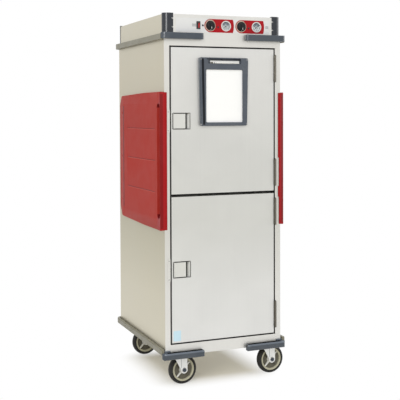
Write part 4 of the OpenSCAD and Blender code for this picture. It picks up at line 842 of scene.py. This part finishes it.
# %% Thermometers, lamps and switch
# The dial lies 1.4 mm behind the needle's front
dial_level = FASCIA - low_high("upper_needle")[0][1] - 1.4
band_arc = np.radians(np.linspace(15, 165, 40))
BAND = np.concatenate([np.stack([r * np.cos(a), r * np.sin(a)], -1)
                       for r, a in ((21.5, band_arc), (8.5, band_arc[::-1]))])
CRYSTAL = [(0, 3.7), (8, 3.65), (16, 3.4), (21, 2.9), (23.3, 2.3), (23.3, 1.9), (0, 1.9)]
LENS = [(0, 3.0), (1.6, 2.9), (3.2, 2.3), (3.9, 1.3), (5.0, 1.1), (5.0, -0.1), (0, -0.1)]
faces, bands, scale = [], [], []
for zone in ZONES:
    centre = dials[zone]
    faces.append(turned(oblong(0, dial_level - 0.5, 23.3, dial_level), centre, OUTWARD, 48))
    bands.append(raised(BAND, centre, dial_level - 0.05, dial_level + 0.12))
    scale += ticks(centre, 18.6, 20.6, 28, 270, 0.6, dial_level + 0.25, 3, 2.0)
piece("thermometer_dials", faces, dial_card, "cabinet")
piece("thermometer_bands", bands, dial_blue, "cabinet")
piece("thermometer_scales", scale, print_and_recess_black, "cabinet")
domes = [turned(CRYSTAL, dials[zone], OUTWARD, 64) for zone in ZONES]
piece("thermometer_crystals", domes, glass, "cabinet", ["thermometer_lenses"])

low, high = low_high("pilot_lamps")
LAMPS = [(low[0] + 5, CONTROL_Z), (on_fascia["upper"][0] + 42.5, CONTROL_Z - 7),
         (high[0] - 5, CONTROL_Z - 7)]
lenses = [turned(LENS, (x, FASCIA, z), OUTWARD, 32) for x, z in LAMPS]
piece("lamp_lenses", lenses, lamp_dark, "cabinet", ["pilot_lamps"])

# The rocker's two faces slope back from its middle by the same angle as it tips, so the lower one
# stands upright now. A red window covers the right part of both; turning (y, z) by the tip angle
# gives (y cos - z sin, y sin + z cos).
tip, middle = math.radians(10), pivot("rocker_tip")
z = np.array([-12.0, 0.0, 12.0, 12.0, 0.0, -12.0])
y = -3 - abs(z) * math.tan(tip) + np.array([-0.4, -0.4, -0.4, 0.5, 0.5, 0.5])
window = [y * math.cos(tip) - z * math.sin(tip), y * math.sin(tip) + z * math.cos(tip)]
window = extruded(np.stack(window, -1) + middle[1:], middle[0] - 1.5, middle[0] + 6.2, "x")
piece("rocker_window", [window], rocker_red, "rocker_switch")

# Three plain strokes at each end stand where a panel carries its captions.
low, high = low_high("fascia_panel")
bars = [extruded(oblong(a, z - 1.2, b, z + 1.2), FASCIA - 0.2, FASCIA - 0.02)
        for a, b in ((low[0] + 86, low[0] + 110), (high[0] - 22, high[0] - 4))
        for z in (CONTROL_Z - 5, CONTROL_Z, CONTROL_Z + 5)]
piece("fascia_lines", bars, print_and_crease_grey, "cabinet")
print("control panel dressed")

# %% [markdown]
# ## Screws
# A pan head is a low dome. Its cross recess is four short slots, drawn as a thin dark cross of
# painted shade that stands a hair proud of the dome, since a real recess of this size would be too
# fine to show.


# %% Screws
DOME = np.array([(0, 0.42), (0.45, 0.39), (0.8, 0.26), (0.97, 0.1)])


def screw(centre, axis, r, tilt):
    """Head and cross of one screw: a dome of height 0.42 r on the surface at centre, facing axis,
    whose cross is turned by tilt."""
    centre, axis = np.asarray(centre, float), np.asarray(axis, float)
    head = turned([*(DOME * r), (r, -0.1), (0, -0.1)], centre, axis, 24)
    side = np.cross((0, 0, 1), axis)
    cross = []
    for a in (tilt, tilt + np.pi / 2):
        along = math.cos(a) * side + math.sin(a) * np.array([0, 0, 1.0])
        across = np.cross(axis, along)
        corners = np.array([centre + along * u + across * v
                            for u, v in oblong(-0.55 * r, -0.11 * r, 0.55 * r, 0.11 * r)])
        layers = np.stack([corners + axis * h for h in (0.3 * r, 0.43 * r)])
        cross.append(grid(layers, wrap_cols=True, ends=True))
    return head, cross


def screws(name, spots, r, body, metal=screw_steel):
    """All the screws of one body; each spot is a point and the direction its head faces."""
    made = [screw(centre, axis, r, 0.5 * i) for i, (centre, axis) in enumerate(spots)]
    piece(name + "_screws", [head for head, _ in made], metal, body)
    piece(name + "_recesses", [part for _, cross in made for part in cross], print_and_recess_black, body)


# A side panel has three screws along its rear margin and one behind the grip.
low, high = low_high("side_panel_right")
REAR_X, REAR_Y, FROM_END = SIDE + 8.2, FRONT + 652, 105
GRIP_X, GRIP_Y = high[0] - 3.9, FRONT + 95
middle_z = (low[2] + high[2]) / 2
places = [(REAR_X, REAR_Y, z) for z in (low[2] + FROM_END, middle_z, high[2] - FROM_END)]
places.append((GRIP_X, GRIP_Y, middle_z))
spots = [((s * x, y, z), (s, 0, 0)) for s in (-1, 1) for x, y, z in places]
# Their heads take the dark red of the painted shade.
screws("side_panel", spots, 6.6, "cabinet", red_shaded)

# Each rib of a panel shows outside as a shallow hollow, drawn as painted shade on its upper half and
# painted light on its lower half. A band of painted shade follows the step where the long bevel
# begins, and an inset of painted shade runs up the grip bar's outer side.
RIB_FROM, RIB_TO = FRONT + 85, FRONT + 555
RIB_Z = low[2] + (high[2] - low[2]) * np.array([0.27, 0.5, 0.73])
halves = {"crests": (red_painted_light, -4.3, -0.3), "shades": (red_shaded, 0.5, 2.6)}
for name, (paint, a, b) in halves.items():
    strips = [extruded(oblong(RIB_FROM, z + a, RIB_TO, z + b), s * (high[0] - 1.6),
                       s * (high[0] - 0.35), "x") for s in (-1, 1) for z in RIB_Z]
    piece("side_panel_rib_" + name, strips, paint, "cabinet")

STEP_FROM, STEP_TO, STEP_END = FRONT + 608, FRONT + 626, 66
step = oblong(STEP_FROM, low[2] + STEP_END, STEP_TO, high[2] - STEP_END)
steps = [extruded(step, s * (high[0] - 0.6), s * (high[0] + 0.1), "x") for s in (-1, 1)]
lip, edge = np.array([SIDE - 4, low[1]]), np.array([high[0], FRONT + 6])
out = np.array([edge[1] - lip[1], lip[0] - edge[0]]) / np.linalg.norm(edge - lip)
inset = np.array([lip + (edge - lip) * t + out * h for t, h in oblong(0.45, 0.3, 0.96, -0.6)])
insets = [extruded(inset * np.array([s, 1]), low[2] + 10, high[2] - 10, "z") for s in (-1, 1)]
piece("side_panel_steps", steps, red_shaded, "cabinet")
piece("side_panel_grips", insets, red_grip_side_shade, "cabinet")

low, high = low_high("front_bumpers")
UPPER_Z = (low_high("top_housing")[0][2] + high[2]) / 2
spots = [((s * 134, low[1] + 1.9, UPPER_Z), OUTWARD) for s in (-1, 1)]
low, high = low_high("corner_posts")
spots += [((s * (high[0] - 46), low[1] + 1.2, high[2] - dz), OUTWARD)
          for s in (-1, 1) for dz in (27, 71)]
screws("bumper", spots, 4.0, "cabinet")

# A dark strip of painted shade lies in the channel along each lower bumper and reaches back to the
# body.
low, high = low_high("front_bumpers")
STRIP_INNER, STRIP_OUTER = 129, SIDE - 8
strips = [rounded(oblong(s * STRIP_INNER, low[1] + 8, s * STRIP_OUTER, FRONT - 1), (8, 8, 2, 2), 4)
          for s in (-1, 1)]
strips = [extruded(strip, RIM_Z - 3, RIM_Z + 0.35, "z") for strip in strips]
piece("bumper_strips", strips, painted_shade_black, "cabinet")

low, high = low_high("strike_plates")
spots = [((low[0] + 7, low[1], z + s * 47), OUTWARD) for z in DOOR_MIDDLES.values() for s in (-1, 1)]
screws("strike", spots, 3.4, "cabinet")
for door, z in DOOR_MIDDLES.items():
    low, high = low_high(door + "_latch_cup")
    spots = [((x, low[1], z + s * 38), OUTWARD) for x in (low[0] + 3.4, high[0] - 3.4)
             for s in (-1, 1)]
    screws(door + "_latch", spots, 2.2, door + "_door")
print("screws in place")

# %% [markdown]
# ## Small things on the doors
# A pen lies in the trough of the document holder, with a tip, two dark bands and a spring clip. The
# holder's left edge has a groove where the record sheet slides in; the groove and a ledge under the
# top edge are painted dark as shade.

# %% Pen and document holder
low, high = low_high("pen")
tip = np.array([low[0], (low[1] + high[1]) / 2, (low[2] + high[2]) / 2])
RIGHT = (1, 0, 0)
BARREL = [(0, 20), (3.6, 20), (4.3, 26), (4.5, 40), (4.5, 150), (4.4, 161), (3.9, 166), (2.2, 168),
          (0, 168)]
POINT = [(0, 0), (0.5, 0.2), (0.6, 3), (1.5, 4), (3.5, 17), (3.7, 20.1), (0, 20.1)]
piece("pen_barrel", [turned(BARREL, tip, RIGHT, 40)], pen_white, "pen", ["pen"])
piece("pen_point", [turned(POINT, tip, RIGHT, 32)], olive_tip_and_web_shade, "pen")
bands = [turned([(4.35, a), (4.62, a + 0.3), (4.62, b - 0.3), (4.35, b)], tip, RIGHT, 40, ring=True)
         for a, b in ((27, 30.5), (36, 38))]
clip = rounded([(108, -1.6), (160, -2.1), (160, 2.1), (108, 1.6)], 1.4) + tip[[0, 2]]
stem = rounded(oblong(155, -1.8, 160, 1.8), 0.6) + tip[[0, 2]]
piece("pen_bands", bands, print_and_crease_grey, "pen")
piece("pen_clip", [extruded(clip, tip[1] - 6.6, tip[1] - 5.6),
                   extruded(stem, tip[1] - 6.0, tip[1] - 3.8)], pen_white, "pen")

low, high = low_high("document_holder")
groove = rounded([(low[0] + 18.2, low[2] + 6), (low[0] + 30.2, low[2] + 6),
                  (low[0] + 23.2, high[2] - 6), (low[0] + 11.2, high[2] - 6)], 1.5)
ledge = rounded(oblong(low[0] + 40, high[2] - 9.5, high[0] - 42, high[2] - 5), 1.5)
hollows = [extruded(outline, low[1] - 0.2, low[1] + 1.4) for outline in (groove, ledge)]
piece("holder_groove", hollows, holder_shade_dark, "upper_door")
spots = [((x, low[1] + 0.9, z), OUTWARD) for x in (low[0] + 7.5, high[0] - 7.5)
         for z in (low[2] + 9, high[2] - 9)]
screws("holder", spots, 3.4, "upper_door")

# A white card lies behind the pen in its trough.
low, high = low_high("pen")
card = rounded(oblong(low[0] + 8, low[2] - 4.5, high[0] + 2, high[2] + 6.5), 2.0, 3)
piece("trough_card", [extruded(card, high[1] + 0.2, high[1] + 0.7)], zone_white, "upper_door")

# %% [markdown]
# Dark edging of painted shade runs round each door's face, in its gap, and round each latch's plate.
# A strip of painted shade closes the gap between the doors, and another lies in each paddle's pocket
# beside the paddle. A plain pale blue sticker is stuck at the foot of the lower door.


# %% Edging and sticker
def border(low, high, grow, width, radius, y0, y1):
    """Ring round a node's outline, seen from the front: grown by grow, width wide, from y0 to y1."""
    (x0, _, z0), (x1, _, z1) = low - grow, high + grow
    loops = [rounded(oblong(x0 + w, z0 + w, x1 - w, z1 - w), r, 4)
             for w, r in ((0, radius), (width, max(radius - width, 0.3)))]
    rows = [np.insert(loops[k], 1, y, axis=1) for k, y in ((0, y0), (1, y0), (1, y1), (0, y1))]
    return grid(np.stack(rows), wrap_rows=True, wrap_cols=True)


for door in ZONES:
    low, high = low_high(door + "_door_skin")
    edging = [border(low, high, 0.0, 1.6, 1.0, low[1] - 0.1, low[1] + 0.5)]
    seam = low[2] if door == "upper" else high[2] - 4
    edging.append(extruded(oblong(low[0] + 0.2, seam, high[0] - 0.2, seam + 4), low[1] - 0.12,
                           low[1] + 0.4))
    low, high = low_high(door + "_latch_cup")
    edging.append(border(low, high, 0.3, 3.4, 2.0, low[1] - 0.3, low[1] + 0.4))
    # Painted shade on the pocket's floor, beside the paddle's edge.
    edge = low_high(door + "_paddle")[1]
    edging.append(extruded(oblong(edge[0] + 1, low[2] + 5, edge[0] + 8, high[2] - 5), low[1] + 7,
                           low[1] + 10))
    piece(door + "_edging", edging, painted_shade_black, door + "_door")

STICKER = oblong(-281, 245, -240, 298)
patch = extruded(rounded(STICKER, 2.5), FRONT - 0.25, FRONT - 0.02)
piece("foot_sticker", [patch], sticker_blue, "lower_door")
print("doors dressed")

# %% [markdown]
# ## The studio
# A pale floor that the camera sees as pure white away from the object, so that the picture has no
# horizon, with the shadow kept under the body. The distance that fades it is measured from a
# rectangle, not from a point. A broad lamp on the left lights the doors, a weaker one the side, and
# a white world fills in. Camera, glossy and transmitted rays see plain white, so metal reflects a
# white studio, while the diffuse light on the object stays at a plain level.


# %% Studio
def lamp(name, spot, target, size, watts):
    """Area lamp at spot, turned to face target."""
    data = bpy.data.lights.new(name, "AREA")
    data.shape, data.size, data.energy = "SQUARE", size, watts
    lamp_object = bpy.data.objects.new(name, data)
    bpy.context.scene.collection.objects.link(lamp_object)
    lamp_object.location = spot
    lamp_object.rotation_euler = (Vector(target) - Vector(spot)).to_track_quat("-Z", "Y").to_euler()


def mirror_ray(tree):
    """1 for a camera, glossy or transmitted ray, and 0 for diffuse light."""
    rays = add(tree, "ShaderNodeLightPath").outputs
    seen = rays["Is Camera Ray"]
    for kind in ("Is Glossy Ray", "Is Transmission Ray"):
        seen = add(tree, "ShaderNodeMath", {0: seen, 1: rays[kind]}, operation="MAXIMUM").outputs[0]
    return seen


lamp("key", (-3.0, -4.5, 3.2), (0, 0, 1.0), 2.5, 150)
lamp("side_fill", (4.5, -1.5, 2.0), (0.3, 0, 1.0), 2.5, 40)
lamp("top", (0.0, 0.5, 4.5), (0, 0, 1.0), 3.0, 60)

world = bpy.data.worlds.new("white_studio")
bpy.context.scene.world = world
world.use_nodes = True
tree = world.node_tree
tree.nodes.clear()
fill = add(tree, "ShaderNodeBackground", {"Color": (1, 1, 1, 1), "Strength": 0.55})
white = add(tree, "ShaderNodeBackground", {"Color": (1, 1, 1, 1), "Strength": 1.0})
both = add(tree, "ShaderNodeMixShader", {
    0: mirror_ray(tree), 1: fill.outputs[0], 2: white.outputs[0]})
add(tree, "ShaderNodeOutputWorld", {"Surface": both.outputs[0]})

floor_mesh = bpy.data.meshes.new("floor")
FLOOR_HALF = 14.0
corners = [(x, y, 0.0) for x, y in oblong(-FLOOR_HALF, -FLOOR_HALF, FLOOR_HALF, FLOOR_HALF)]
floor_mesh.from_pydata(corners, [], [(0, 1, 2, 3)])
floor = bpy.data.objects.new("floor", floor_mesh)
bpy.context.scene.collection.objects.link(floor)
floor_paint, tree, shader = finish("white_floor", base_color=linear("#f5f0df"), roughness=0.9)
# Distance from a rectangle: the length of |place| less its half sides, where that is above 0
SHADOW_HALF = (0.20, 0.22, 0.0)
away = place(tree)
for operation, other in (("ABSOLUTE", (0, 0, 0)), ("SUBTRACT", SHADOW_HALF), ("MAXIMUM", (0, 0, 0))):
    away = add(tree, "ShaderNodeVectorMath", {0: away, 1: other}, operation=operation).outputs[0]
reach = add(tree, "ShaderNodeVectorMath", {0: away}, operation="LENGTH")
fade = add(tree, "ShaderNodeMapRange", {
    "Value": reach.outputs["Value"], "From Min": -0.05, "From Max": 0.19},
    interpolation_type="SMOOTHSTEP")
fade = add(tree, "ShaderNodeMath", {0: mirror_ray(tree), 1: fade.outputs[0]}, operation="MULTIPLY")
paper = add(tree, "ShaderNodeEmission", {"Color": (1, 1, 1, 1), "Strength": 1.0})
blend = add(tree, "ShaderNodeMixShader", {
    0: fade.outputs[0], 1: shader.outputs[0], 2: paper.outputs[0]})
tree.links.new(blend.outputs[0], tree.nodes["Material Output"].inputs["Surface"])
floor.data.materials.append(floor_paint)

# %% Final update
bpy.context.view_layer.update()
